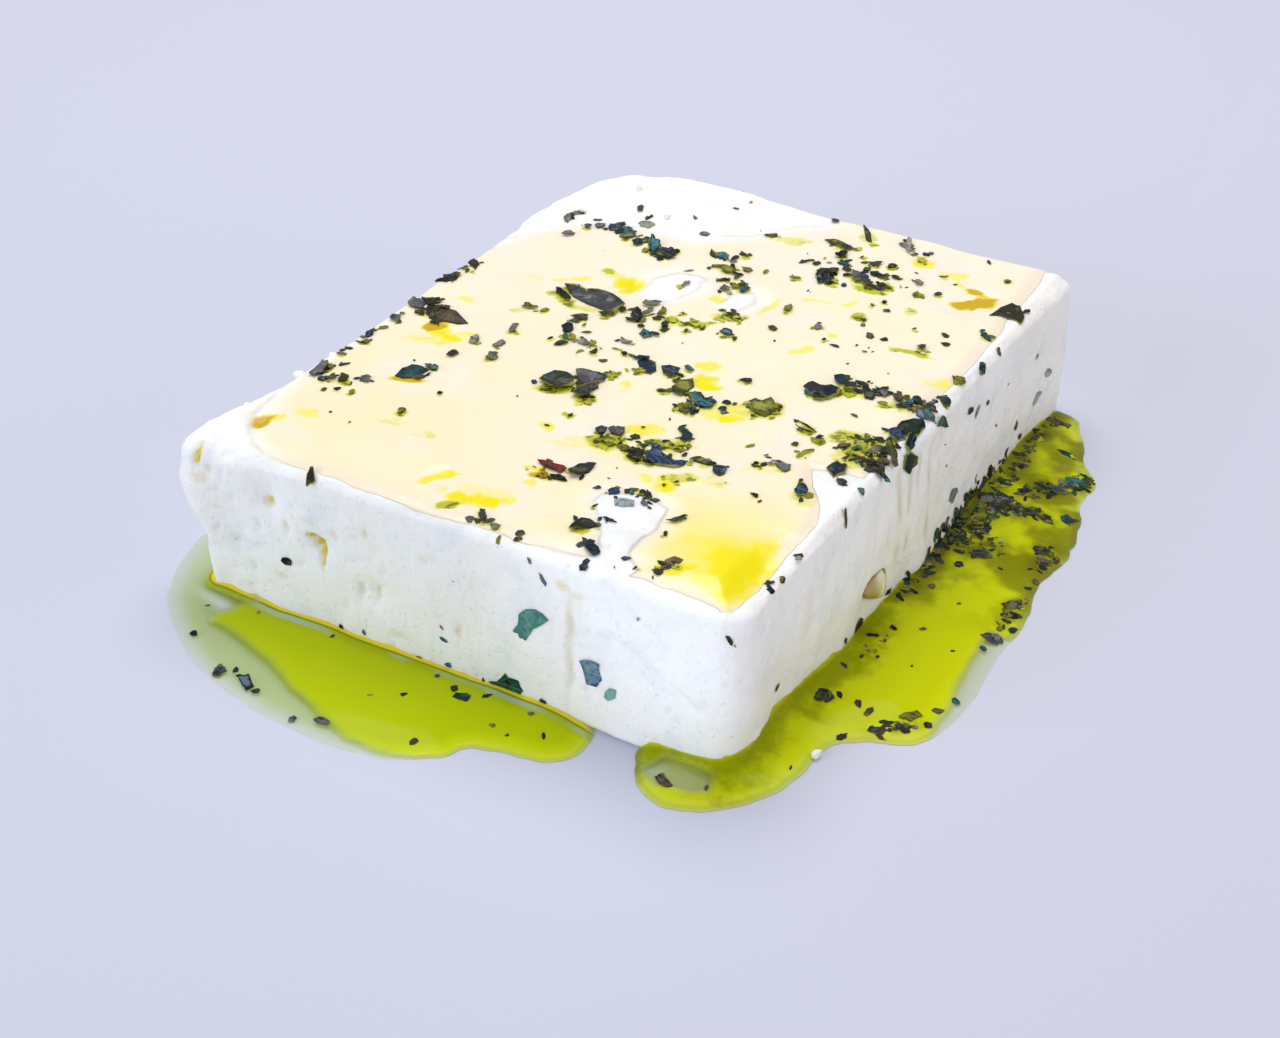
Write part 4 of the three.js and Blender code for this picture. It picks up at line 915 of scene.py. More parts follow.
# Crumbled leaf in drifts: x, y, reach along and across, turn, how many bits, their longest size, and mix
DRIFTS = table("""
    19.6 -8 2.3 2.1 0 16 1.2 dark, 20.4 -9.4 1.9 1.4 0 9 1.2 soaked, 34.4 -9.2 2.8 1.5 20 16 1.3 soaked,
    36.2 -11.6 3 2.4 -20 26 1.3 soaked, 35.6 -8.2 2.6 1 10 8 1.4 dark, 37.8 -8.8 1.4 2.2 0 8 1.9 dark,
    38.2 -13.8 1.4 1.5 20 14 1.7 brown, 35.6 -13.6 2 1 20 8 1.4 brown, 38.2 -2.8 1.2 2.6 0 5 1.8 dark,
    36.8 2.2 2.4 1 20 11 2 brown, 31 3.6 4.5 0.8 10 13 2.2 brown, 27.2 2 1.9 1.3 20 9 1.8 soaked,
    13.4 -23 3.6 1 25 15 1.5 soaked, 11.2 -26.8 1.6 1.3 0 9 1.3 dark, 6.3 -25.8 2 1.3 20 9 1.5 soaked,
    -6.2 -17.7 2.8 0.8 30 9 1.6 soaked, -1.8 -17.8 1.7 1.2 20 7 1.6 soaked, -4.2 -14 3 1.6 10 7 2 slate,
    7.4 -10.2 2.1 1 20 8 1.6 soaked, 11 -13.6 2 1.2 20 7 1.8 dark, 10.4 -14.4 1.6 0.9 20 4 1.4 soaked,
    0.8 -7.6 2 0.9 30 6 1.6 soaked, 4 -6.8 1.4 0.8 30 5 1.5 soaked, 14.6 -20.4 1.4 1.2 0 4 1.5 teal,
    -7.4 8.2 2.8 2.4 -30 7 2.4 slate, -14 0.4 2.2 2 0 6 1.7 slate, -35.4 -8 3.4 3.6 0 12 2.6 slate,
    -37.2 4 1.2 4.6 0 7 2.8 slate, -32.6 -30.4 2.4 1.6 0 5 1.4 dark, -20.6 28.6 4.4 1.8 -28 11 2.8 teal,
    -14.8 26.4 2.4 1.8 -20 8 2.5 dark, 10.4 31.6 3.2 1.8 -30 12 2.6 dark, 16.8 32.8 2.6 1.4 0 7 2.2 slate,
    -0.4 23 3 1.6 0 8 2.2 dark, -5.2 29.4 3.4 1 0 6 2.2 teal, 12 36.8 5 3.4 0 6 1.8 slate,
    18 45.6 2 2 0 5 1.8 slate, 15.4 48 2.4 0.8 -50 5 1.8 pale, 18.2 -31 1.6 1.3 0 6 1.1 soaked,
    2.6 -36.4 1.6 0.9 20 4 1 brown, 17.8 -35.6 1.6 1 0 4 1.2 dark, 38.8 -42 0.8 2.4 0 6 1.6 dark,
    28 -46.8 1.4 0.9 20 3 1.6 dark, 36.4 34.4 1.8 1.2 0 4 1.8 brown, 2 12.6 3.6 2 20 8 1.6 soaked,
    -2 7 3 2.4 0 6 1.2 soaked, 22 38 5 4 0 7 1.5 olive, 26 12 9 8 0 7 0.8 olive, 0 0 34 44 0 14 0.6 dark
""")
# The colours that are strewn with a drift's main one
DRIFT_MIXES = {
    "soaked": "soaked mossy soaked olive dark mossy brown olive",
    "dark": "dark dark navy green dark olive mossy dark",
    "brown": "brown brown dark slate olive soaked pale brown",
    "slate": "slate slate dark navy pale olive brown slate",
    "teal": "teal navy slate dark teal olive pale teal",
    "olive": "olive soaked olive slate dark pale brown olive",
    "pale": "pale slate brown olive pale slate brown pale",
    "navy": "navy dark navy teal slate soaked olive dark",
    "red": "brown red dark olive brown dark olive brown",
    "green": "green dark olive dark teal mossy green dark",
    "mossy": "mossy olive soaked dark mossy olive brown dark",
    "steel": "teal navy slate dark navy olive slate dark",
    "amber": "mossy olive brown dark mossy olive brown dark",
    "mist": "pale slate brown olive pale slate brown pale",
    "murky": "dark olive brown mossy slate dark olive green",
}
DRIFT_MIXES = {kind: colours.split() for kind, colours in DRIFT_MIXES.items()}
TOWARDS_FRONT = (0.5, -0.87)


def drift_bits(drifts, first):
    """The bits of every drift: x, y, length, width, turn, colour, and seed."""
    bits = []
    for d, (x, y, along, across, turn, count, size, kind) in enumerate(drifts):
        for i in range(int(count)):
            n = first + d * 97 + i * 3
            a, r = 2 * math.pi * draw(n), math.sqrt(draw(n + 0.3))
            dx, dy = turned(along * r * math.cos(a), across * r * math.sin(a), -turn)
            long = size * (0.45 + 0.65 * draw(n + 0.6))
            wide = long * (0.28 + 0.5 * draw(n + 0.9))
            colour = pick(DRIFT_MIXES[kind], n + 1.2)
            bits.append([x + dx, y + dy, long, wide, 360 * draw(n + 1.5), colour, n])
    return bits


def chips_of(x, y, long, wide, turn, colour, seed):
    """Splinters that broke off a scrap, round it, with the oil-soaked ones towards the front."""
    bits = []
    for i in range(int(0.6 + 2.6 * draw(seed * 1.3))):
        n = seed * 11.3 + i * 2.9
        a = 2 * math.pi * draw(n)
        reach = 0.5 + 0.16 * draw(n + 1)
        dx, dy = turned(math.cos(a) * long * reach, math.sin(a) * wide * reach, -turn)
        size = min(1.9, long * (0.26 + 0.3 * draw(n + 2)))
        front = dx * TOWARDS_FRONT[0] + dy * TOWARDS_FRONT[1] > 0
        kind = "soaked" if front and draw(n + 4) < 0.55 else pick(DRIFT_MIXES[colour], n + 3)
        bits.append([x + dx, y + dy, size, size * (0.4 + 0.4 * draw(n + 5)), 360 * draw(n + 6), kind, n])
    return bits


# Each kind of scrap counts its draws from a number of its own, so the kinds don't change one another.
in_solid, small_scraps = top_scraps()
scrap_rows = [(row, 300 + i) for i, row in enumerate(in_solid)]
scrap_rows += [(row, 2000 + i) for i, row in enumerate(small_scraps)]
for i, (x, y, size, colour) in enumerate(SPECKS):
    wide = size * (0.35 + 0.4 * draw(3000 + i))
    scrap_rows.append(([x, y, size, wide, 180 * draw(3400 + i), colour], 3000 + i))
for i, ((x, y, colour), corners) in enumerate(DRAWN_SCRAPS.items()):
    OUTLINES[(x, y)] = corners
    scrap_rows.append(([x, y, *np.ptp(corners, axis=0), 0, colour], 3900 + i))
loose_bits = drift_bits(DRIFTS, 5000)
for (x, y, long, wide, turn, colour), seed in list(scrap_rows):
    if long >= SMALLEST_LEAF:
        loose_bits += chips_of(x, y, long, wide, turn, colour, seed)
scrap_rows += [(bit[:6], bit[6]) for bit in loose_bits if abs(bit[0]) < 39.8 and abs(bit[1]) < 51.8]
herbs = defaultdict(list)
lying = []
for (x, y, long, wide, turn, colour), seed in scrap_rows:
    drawn = OUTLINES.get((x, y))
    if drawn:
        (long, wide), turn = np.ptp(drawn, axis=0), 0
    steps = 2 if drawn else (3 if long >= SMALLEST_LEAF else 1)
    shape, faces, where = torn_leaf(long, wide, seed, steps, 0.12 if drawn else 0.34, drawn)
    if long < SMALLEST_LEAF or colour in SUNK:
        shape[:, 2] *= 0.4 + 0.35 * draw(seed * 1.9)
    lying.append((colour, laid(shape, (x, y, -0.02), (0, 0, 1), turn), faces, where))
drape(lying, lambda x, y: top_height(x, y) - edge_drop(x, y))
for i, (x, y, height, long, wide, turn, colour) in enumerate(SIDE_LEAVES):
    drawn = OUTLINES.get(("front", x) if y < -50 else ("right", y))
    if drawn:
        (long, wide), turn = np.ptp(drawn, axis=0), 0
    shape, faces, where = torn_leaf(long, wide, 600 + i, 2, 0.12, drawn)
    herbs[colour].append((pressed(shape * (1, 1, 0.4), x, y, height, turn), faces, where))
for i, (face, along, height, size, colour) in enumerate(SIDE_SPECKS):
    x, y = (along, -LENGTH / 2) if face == "front" else (WIDTH / 2, along)
    shape, faces, where = torn_leaf(size, size * (0.4 + 0.35 * draw(3600 + i)), 3600 + i, 2)
    herbs[colour].append((pressed(shape * (1, 1, 0.5), x, y, height, 180 * draw(3700 + i)), faces, where))
for i, (x, y, lean, long, wide, turn, colour) in enumerate(EDGE_LEAVES):
    place, normal_here, radius = rim_at(x, y)
    edge_at, edge_z, edge_up = edge_point(place, normal_here, radius, lean)
    spot = carve(edge_at, edge_z, edge_up, normal_here)[0]
    a = math.radians(lean)
    face = (*(normal_here[0] * math.cos(a)), math.sin(a))
    shape, faces, where = torn_leaf(long, wide, 700 + i)
    herbs[colour].append((laid(shape, spot, face, turn), faces, where))


# The oil that ran off the top: two shallow pools of olive oil against the slab's foot, held there by
# their own skin, with a rounded rim and a meniscus that climbs the curd.
POOL_DEPTH = 1.1
POOL_RIM = 8.5
RIM_OVERHANG = 2.5
FLOAT = 0.03

# Outlines of the pools, from where each leaves the slab's foot round its free edge
LEFT_POOL = table("""
    -36 -8, -41.5 -7, -45.5 -18, -48 -32, -48 -45, -44 -55, -36 -63, -24 -69, -10 -71.5, 1 -70.5, 7.5 -67,
    9.5 -63.6, 13.5 -62, 19 -61, 21.4 -57.5, 19 -50, -20 -44
""")
RIGHT_POOL = table("""
    27 -50, 28.6 -56.5, 33.5 -61, 39 -59.6, 44 -54.5, 46 -48, 46.6 -41, 50.5 -37.6, 56 -34.4, 57.8 -26,
    57 -13, 57.4 -4, 55.8 4, 56.6 14, 55 22, 53 28.6, 53 34, 49.6 38.6, 47.4 44, 44 50.4, 40.5 51.6, 36 44,
    33 0, 33 -40
""")

# The deep crescent of the left pool, outside which only a thin film lies, and the thin spots of the
# right one
LEFT_DEEP = table("""
    -34 -58.4, -32 -54, -28 -51, 10 -51, 20 -53, 23.5 -56, 22.5 -60.5, 18.5 -62.6, 12.5 -63.2, 9.3 -66.2,
    3.1 -69.4, -4 -69, -9.3 -67.4, -14.6 -65.4, -20 -63, -25.7 -60.2, -31.1 -58.6
""")
RIGHT_THIN = [
    table("29 -56.4, 31 -54, 37.4 -54, 38 -56.2, 35.5 -57.6, 32.4 -58"),
    table("54.4 -9, 62 -9, 62 -34, 56.6 -33, 56 -25, 54.8 -18, 54.2 -13"),
]


def closed_curve(corners, steps):
    """A smooth closed line through the corners, with centripetal spacing."""
    points_here = []
    count = len(corners)
    pts = [np.array(c, float) for c in corners]
    for i in range(count):
        p0, p1, p2, p3 = (pts[(i + k) % count] for k in (-1, 0, 1, 2))
        d0, d1, d2 = (math.sqrt(np.linalg.norm(b - a)) for a, b in ((p0, p1), (p1, p2), (p2, p3)))
        t1 = ((p1 - p0) / d0 - (p2 - p0) / (d0 + d1) + (p2 - p1) / d1) * d1
        t2 = ((p2 - p1) / d1 - (p3 - p1) / (d1 + d2) + (p3 - p2) / d2) * d1
        for k in range(steps):
            t = k / steps
            points_here.append(
                p1 + t1 * t + (-3 * p1 + 3 * p2 - 2 * t1 - t2) * t**2 + (2 * p1 - 2 * p2 + t1 + t2) * t**3
            )
    return [tuple(p) for p in points_here]


foot_rows = outline(*rectangle())
foot_z = np.full(around, 1.4)
foot_line = carve(foot_rows[0], foot_z, np.zeros(around), foot_rows[1])[::2, :2] - foot_rows[1][::2] * 0.35
foot_line = [tuple(p) for p in foot_line]


# How high each pool climbs the curd: the right one stands tallest round the front corner
def left_climb(p):
    return 0.5 + 0.3 * noise(p, 3)


def right_climb(p):
    return 0.6 + (1.3 + 0.9 * noise(p, 2.4)) * smooth(-18, -26, p[:, 1])


POOLS = {"left": (LEFT_POOL, left_climb), "right": (RIGHT_POOL, right_climb)}


def pool_line(corners):
    """A pool's frayed rim in plan."""
    line = np.array(closed_curve(corners, 14))
    ragged = frayed(np.column_stack([line, np.zeros(len(line))]), 0.4, 2.4)
    return [tuple(p) for p in line + ragged[:, :2]]


def pool_level(x, y, from_rim, from_curd, climb):
    """Height of a pool's surface, by how far a place lies from its rim and from the curd it climbs."""
    inward = smooth(-RIM_OVERHANG, POOL_RIM, from_rim)
    at_rim = smooth(-RIM_OVERHANG, POOL_RIM, 0)
    p = np.column_stack([x, y, np.full(len(x), 3.0)])
    level_here = 0.05 + (POOL_DEPTH - 0.05) * (inward - at_rim) / (1 - at_rim) + 0.05 * noise(p, 9) * inward
    return level_here + climb(p + (0, 0, 6)) * np.exp(-from_curd / 0.9) * np.clip(from_rim / 1.5, 0, 1)


def pool_mesh(corners, climb):
    """A pool as a closed shape: points, triangles, and masks for its depth and its nearness to the curd."""
    line = pool_line(corners)
    low = np.min(line, axis=0)
    high = np.max(line, axis=0)
    step = 0.6
    gx, gy = np.meshgrid(np.arange(low[0], high[0], step), np.arange(low[1], high[1], step))
    gx = gx + np.where(np.arange(gx.shape[0]) % 2, step / 2, 0)[:, None]
    gx, gy = gx.ravel(), gy.ravel()
    keep = (reach_inside(gx, gy, line) > step * 0.6) & (reach_inside(gx, gy, foot_line) < -step * 0.5)
    seeds = [Vector(p) for p in line + foot_line] + [Vector(p) for p in zip(gx[keep], gy[keep])]
    n, m = len(line), len(foot_line)
    edges = [(i, (i + 1) % n) for i in range(n)] + [(n + i, n + (i + 1) % m) for i in range(m)]
    made, _, faces, *_ = delaunay_2d_cdt(seeds, edges, [], 0, 1e-5)
    plan = np.array([tuple(p) for p in made])
    faces = np.array([f for f in faces if len(f) == 3])
    middle = plan[faces].mean(1)
    keep = (reach_inside(middle[:, 0], middle[:, 1], line) > 0) & (
        reach_inside(middle[:, 0], middle[:, 1], foot_line) < 0
    )
    faces = faces[keep]
    used = np.unique(faces)
    renumber = np.full(len(plan), -1)
    renumber[used] = np.arange(len(used))
    plan, faces = plan[used], renumber[faces]
    x, y = plan[:, 0], plan[:, 1]
    from_rim = reach_inside(x, y, line)
    from_rim = np.where(from_rim < 0.01, 0, from_rim)
    from_curd = np.abs(reach_inside(x, y, foot_line))
    top = np.column_stack([x, y, pool_level(x, y, from_rim, from_curd, climb)])
    bottom = np.column_stack([x, y, np.zeros(len(x))])
    a, b, c = plan[faces[:, 0]], plan[faces[:, 1]], plan[faces[:, 2]]
    area = (b[:, 0] - a[:, 0]) * (c[:, 1] - a[:, 1]) - (b[:, 1] - a[:, 1]) * (c[:, 0] - a[:, 0])
    faces = np.where((area < 0)[:, None], faces[:, ::-1], faces)
    sides = {}
    for f in faces.tolist():
        for k in range(3):
            sides[(f[k], f[(k + 1) % 3])] = True
    count = len(plan)
    walls = []
    for i, j in sides:
        if (j, i) not in sides:
            walls += [(i, i + count, j + count), (i, j + count, j)]
    under_faces = [[i + count, k + count, j + count] for i, j, k in faces.tolist()]
    return np.concatenate([top, bottom]), faces.tolist() + under_faces + walls, from_rim, from_curd


pools = {"oil_pool_" + side: pool_mesh(*POOLS[side]) for side in POOLS}

# Small bits on the pools: x, y, length and colour
LEFT_BITS = table("""
    6.4 -54.6 1.6 dark, -2.6 -59.8 1.3 teal, 9.2 -66 2 slate, -26 -66.6 3.2 slate, -34 -62 1.6 dark,
    -12 -70 1.4 slate, 2 -55.4 1.8 dark, -1.2 -54.4 1.2 teal, 13 -55 1.3 brown, 16.4 -57.6 1.5 dark,
    -17.5 -54.4 1.2 brown, -29 -55 0.9 olive, -6 -62 0.8 olive, 10 -59 1 olive, -24 -65.8 1.3 teal,
    -19.4 -67.8 1.4 dark, 12.4 -59.4 0.8 brown, 3.4 -66.2 1.4 olive, -36 -56.8 0.7 dark
""")
RIGHT_BITS = table("""
    40.8 21.1 2.4 dark, 43.1 20.4 2.2 slate, 44.8 19.9 2.4 dark, 45.5 25.6 2.2 dark, 46.8 27.4 2 olive,
    49.3 28.9 2.4 teal, 49.9 31.9 2.2 dark, 51.2 33.2 2 slate, 41.8 15 2.4 dark, 44.1 11.9 2.2 brown,
    41.6 8.4 2.2 dark, 43.7 5.7 2 olive, 46 6.6 3.6 dark, 50.6 20.3 2.2 dark, 54 22.9 2 slate,
    47.6 39.4 2.2 soaked, 43.4 47.7 2.4 brown, 52.6 12.5 1.8 dark, 54.3 10.2 2 dark, 55.3 11.8 1.6 brown,
    42.4 -1.3 1.8 dark, 43.9 -3.9 1.7 brown, 44.8 2.6 2 dark, 43.5 -15.5 1.6 dark, 46.8 -13.8 1.4 olive,
    54.9 -1.6 1.8 dark, 55.8 -3.8 1.5 dark, 54.2 -3.4 2.4 olive, 56.5 -6.7 1.7 teal, 55.4 -9.6 1.8 slate,
    55 5.5 1.6 brown, 54.8 3.4 1.5 dark, 41.6 -18.5 2 dark, 41.9 -33.5 2.8 dark, 43.7 -32 1.7 dark,
    46.5 -32.5 1.5 brown, 48.3 -33.2 1.8 olive, 41.7 -26.5 1.5 dark, 55 -12.8 1.6 teal, 56.4 -25 1.6 teal,
    55.4 -28 1.7 brown, 55.4 -31.3 1.5 dark, 52.8 -33.6 2.4 dark, 51 -36 2 olive, 47.2 -38.6 2 brown,
    50 -35.6 1.6 navy, 32.5 -57 2.4 slate, 44.4 -22.4 0.9 dark, 49 -22 0.8 brown, 52 -16 0.8 dark,
    48.6 -6 0.8 olive, 50 5 0.9 dark, 44.6 -47.2 0.9 dark, 38 -56 1 brown
""")
# Drifts on the right pool, against the foot and along the far rim, in the same order as those on the top
POOL_DRIFTS = table("""
    41.2 6 1.4 7 0 60 2 murky, 42.6 13 2.4 6 0 90 2.1 murky, 43.6 20 3.4 2.6 0 60 2.1 murky,
    48 20.4 3.4 1.6 0 30 1.8 murky, 48 28 2 6 -35 50 1.9 murky, 51.4 33.4 1.6 2.6 0 22 2 green,
    41.6 30 1.4 9 0 44 1.8 murky, 41.4 43 1.2 6 0 22 1.6 murky, 41.4 -4 1.2 5 0 22 1.5 murky,
    54 11 1.6 4 0 20 1.7 murky, 55 -3 1.2 5 0 22 1.6 murky, 46 9 3 3 0 22 1.4 murky,
    52 -33.6 3 1.2 40 16 1.6 murky, 43 -20 1.6 4 0 10 1.1 olive
""")


def bit_rows(bits, first):
    """Small bits as scraps: x, y, length, width, turn, colour, and seed."""
    rows = []
    for i, (x, y, long, colour) in enumerate(bits):
        n = first + i
        rows.append([x, y, long, long * (0.45 + 0.35 * draw(n)), 180 * draw(n + 0.5), colour, n])
    return rows


floating = {
    "left": [[*row, 800 + i] for i, row in enumerate(LEFT_FLOATERS)] + bit_rows(LEFT_BITS, 7000),
    "right": [[*row, 900 + i] for i, row in enumerate(RIGHT_FLOATERS)] + bit_rows(RIGHT_BITS, 7100),
}
floating["right"] += drift_bits(POOL_DRIFTS, 8000)
for side, (pool, climb) in POOLS.items():
    line = pool_line(pool)
    spots = np.array([row[:3] for row in floating[side]], float)
    from_rim = reach_inside(spots[:, 0], spots[:, 1], line)
    from_foot = -reach_inside(spots[:, 0], spots[:, 1], foot_line)
    clear = (from_rim > 0.35 * spots[:, 2]) & (from_foot > 0.12 * spots[:, 2])
    afloat = []
    for (x, y, long, wide, turn, colour, seed), is_clear in zip(floating[side], clear):
        if is_clear:
            shape, faces, where = torn_leaf(long, wide, seed, 3 if long >= SMALLEST_LEAF else 1)
            shape = laid(shape * (1, 1, 0.4), (x, y, -FLOAT), (0, 0, 1), turn)
            afloat.append((colour, shape, faces, where))

    def surface(x, y):
        from_curd = np.clip(-reach_inside(x, y, foot_line), 0, None)
        return pool_level(x, y, reach_inside(x, y, line), from_curd, climb)

    drape(afloat, surface)


def build(name, points_mm, faces, masks=(), crease=180):
    """A mesh object from points in millimetres, smooth up to a crease angle, with masks as attributes."""
    mesh = bpy.data.meshes.new(name)
    mesh.from_pydata((np.asarray(points_mm) * 0.001).tolist(), [], faces)
    mesh.shade_smooth()
    if crease < 180:
        mesh.set_sharp_from_angle(angle=math.radians(crease))
    for key, values in dict(masks).items():
        layer = mesh.attributes.new(key, "FLOAT", "POINT")
        layer.data.foreach_set("value", np.asarray(values, np.float32))
    piece = bpy.data.objects.new(name, mesh)
    bpy.context.collection.objects.link(piece)
    return piece


def joined(parts):
    """Several shapes as one: all points, all faces, and all per-point rows."""
    points_all, faces_all, rows_all, start = [], [], [], 0
    for shape, faces, rows in parts:
        points_all.append(shape)
        rows_all.append(rows)
        faces_all += [tuple(i + start for i in f) for f in faces]
        start += len(shape)
    return np.concatenate(points_all), faces_all, np.concatenate(rows_all)


def linear(red, green, blue):
    """A shader colour from the 0 to 255 numbers of a picture."""
    parts = [c / 255 for c in (red, green, blue)]
    return (*(c / 12.92 if c <= 0.04045 else ((c + 0.055) / 1.055) ** 2.4 for c in parts), 1)


def feed(tree, socket, value):
    """Sets an input to a value, or links it from another node's socket."""
    if isinstance(value, bpy.types.NodeSocket):
        tree.links.new(value, socket)
    else:
        socket.default_value = value


def fit(tree, made, **inputs):
    """Feeds a node's inputs, each named with _ for a space."""
    for key, value in inputs.items():
        feed(tree, made.inputs[key.replace("_", " ")], value)


def node(tree, kind, **settings):
    """Adds a node. Each setting is one of its properties or one of its inputs."""
    made = tree.nodes.new(kind)
    for key, value in settings.items():
        if hasattr(made, key):
            setattr(made, key, value)
        else:
            fit(tree, made, **{key: value})
    return made


def attribute(tree, name):
    return node(tree, "ShaderNodeAttribute", attribute_name=name).outputs["Fac"]


def place_on(tree):
    """Places on the object itself, for its textures."""
    return node(tree, "ShaderNodeTexCoord").outputs["Object"]


def ramp(tree, value, stops, interpolation="EASE"):
    """A colour ramp from (place, colour) stops."""
    made = node(tree, "ShaderNodeValToRGB", Fac=value)
    made.color_ramp.interpolation = interpolation
    while len(made.color_ramp.elements) < len(stops):
        made.color_ramp.elements.new(1)
    for element, (place_here, colour) in zip(made.color_ramp.elements, stops):
        element.position = place_here
        element.color = colour
    return made.outputs["Color"]


def mix(tree, factor, first, second):
    """The first colour where the factor is 0, and the second where it is 1."""
    made = node(tree, "ShaderNodeMix", data_type="RGBA", Factor=factor)
    feed(tree, made.inputs[6], first)
    feed(tree, made.inputs[7], second)
    return made.outputs[2]


def maths(tree, operation, *values):
    made = node(tree, "ShaderNodeMath", operation=operation)
    for socket, value in zip(made.inputs, values):
        feed(tree, socket, value)
    return made.outputs[0]


def times(tree, first, second):
    return maths(tree, "MULTIPLY", first, second)


def plus(tree, first, second):
    return maths(tree, "ADD", first, second)


def spread(tree, value, low, high, to_low=0.0, to_high=1.0):
    """Maps low..high to to_low..to_high with soft ends."""
    made = node(tree, "ShaderNodeMapRange", interpolation_type="SMOOTHSTEP", Value=value)
    fit(tree, made, From_Min=low, From_Max=high, To_Min=to_low, To_Max=to_high)
    return made.outputs["Result"]


def speckle(tree, place_socket, size_mm, detail=3.0, rough=0.55):
    """Noise from 0 to 1 whose grains are about so many millimetres across."""
    made = node(tree, "ShaderNodeTexNoise", Vector=place_socket, Scale=500 / size_mm)
    fit(tree, made, Detail=detail, Roughness=rough)
    return made.outputs["Fac"]


def swing(tree, place_socket, size_mm, detail=3.0, rough=0.55):
    """The same noise from -0.5 to 0.5."""
    return maths(tree, "SUBTRACT", speckle(tree, place_socket, size_mm, detail, rough), 0.5)


def bumped(tree, height, strength, distance):
    """The normal of a bump, whose height of 1 stands so many metres proud."""
    made = node(tree, "ShaderNodeBump", Height=height, Strength=strength, Distance=distance)
    return made.outputs["Normal"]


def new_group(name, inputs, outputs):
    """A node group with a Vector and float inputs, and float outputs: itself, its way in and way out."""
    group = bpy.data.node_groups.new(name, "ShaderNodeTree")
    for key in inputs:
        group.interface.new_socket(key, in_out="INPUT", socket_type="NodeSocketFloat")
    group.interface.new_socket("Vector", in_out="INPUT", socket_type="NodeSocketVector")
    for key in outputs:
        group.interface.new_socket(key, in_out="OUTPUT", socket_type="NodeSocketFloat")
    return group, group.nodes.new("NodeGroupInput"), group.nodes.new("NodeGroupOutput")


def new_material(name):
    """A material of one shader: itself, its node tree and the shader."""
    made = bpy.data.materials.new(name)
    made.use_nodes = True
    tree = made.node_tree
    tree.nodes.clear()
    shader = tree.nodes.new("ShaderNodeBsdfPrincipled")
    out = tree.nodes.new("ShaderNodeOutputMaterial")
    tree.links.new(shader.outputs["BSDF"], out.inputs["Surface"])
    return made, tree, shader


# The curd's grain, for the slab and its crumbs: fine pores and grains, and the colour patches of whey.
grain_group, way_in, way_out = new_group("curd grain", [], ["Height", "Patch"])
place_in = way_in.outputs["Vector"]
grains = times(grain_group, speckle(grain_group, place_in, 1.4, 4, 0.6), 0.75)
pores = node(grain_group, "ShaderNodeTexVoronoi", Vector=place_in, Scale=900.0)
pore_depth = times(grain_group, spread(grain_group, pores.outputs["Distance"], 0.0, 0.35), 0.25)
patch = spread(grain_group, speckle(grain_group, place_in, 9, 3, 0.5), 0.35, 0.7)
fit(grain_group, way_out, Height=plus(grain_group, grains, pore_depth), Patch=patch)


def ragged_mask(tree, name, ragged, fringe):
    """A mask by its name, with a ragged edge: noise is added where there is any of it."""
    mask = attribute(tree, name)
    return plus(tree, mask, times(tree, ragged, spread(tree, mask, 0.02, fringe)))


# The slab's finish: white curd with a faint warm cast, pits stained by whey and oil, painted shade in the
# pores and along the front face's fold, and on the wet part of the top a clear film whose yellow deepens
# with its thickness.
cheese, tree, shader = new_material("feta")
where_on = place_on(tree)
grain = node(tree, "ShaderNodeGroup", node_tree=grain_group, Vector=where_on)
fine_noise = swing(tree, where_on, 0.9, 4, 0.6)
upright = node(tree, "ShaderNodeMapping", Vector=where_on, Scale=(1, 1, 0.13))
drawn_lines = speckle(tree, upright.outputs["Vector"], 1.3, 4, 0.6)
curd_colour = mix(tree, grain.outputs["Patch"], linear(252, 251, 249), linear(247, 244, 239))
curd_colour = mix(tree, spread(tree, drawn_lines, 0.5, 0.75, 0, 0.3), curd_colour, linear(238, 234, 227))
mottle = spread(tree, speckle(tree, where_on, 3.4, 4, 0.6), 0.5, 0.66, 0, 0.55)
curd_colour = mix(tree, mottle, curd_colour, linear(232, 235, 240))
# Painted shade in the pores: they are coloured a little darker grey.
curd_colour = mix(tree, attribute(tree, "pore"), curd_colour, linear(222, 218, 212))
streak_line = plus(tree, attribute(tree, "streak"), times(tree, drawn_lines, 0.5))
curd_colour = mix(tree, spread(tree, streak_line, 0.36, 1.02, 0, 0.9), curd_colour, linear(210, 196, 170))
# Beige in stained pits, and faintly along the front fold, where it is painted shade.
stain_line = plus(tree, attribute(tree, "stain_and_shade"), times(tree, fine_noise, 0.25))
curd_colour = mix(tree, spread(tree, stain_line, 0.1, 0.42, 0, 0.85), curd_colour, linear(237, 227, 207))
curd_colour = mix(tree, spread(tree, stain_line, 0.48, 0.74), curd_colour, linear(228, 212, 112))
curd_colour = mix(tree, spread(tree, stain_line, 0.74, 0.96), curd_colour, linear(212, 194, 44))
film_tones = [
    (0.0, linear(253, 242, 226)),
    (0.3, linear(253, 239, 205)),
    (0.6, linear(252, 236, 168)),
    (1.0, linear(251, 232, 112)),
]
film = ramp(tree, attribute(tree, "tint"), film_tones, "LINEAR")
cloudy = spread(tree, speckle(tree, where_on, 7, 3), 0.48, 0.7, 0, 0.65)
film = mix(tree, cloudy, film, linear(252, 238, 226))
wet_line = plus(tree, attribute(tree, "wet"), times(tree, fine_noise, 0.3))
soft_margin = attribute(tree, "margin")
thinned = times(tree, spread(tree, wet_line, 0.2, 4.5, 1, 0), soft_margin)
film = mix(tree, thinned, film, linear(252, 250, 244))
lip = times(tree, spread(tree, wet_line, 0.0, 0.12), spread(tree, wet_line, 0.9, 2.4, 1, 0))
crisp = maths(tree, "SUBTRACT", 0.85, times(tree, soft_margin, 0.8))
film = mix(tree, times(tree, lip, crisp), film, linear(246, 229, 209))
coarse_noise = swing(tree, where_on, 2.2, 3, 0.6)
ragged = plus(tree, times(tree, fine_noise, 0.55), times(tree, coarse_noise, 0.9))
yellow = ragged_mask(tree, "yellow", ragged, 0.14)
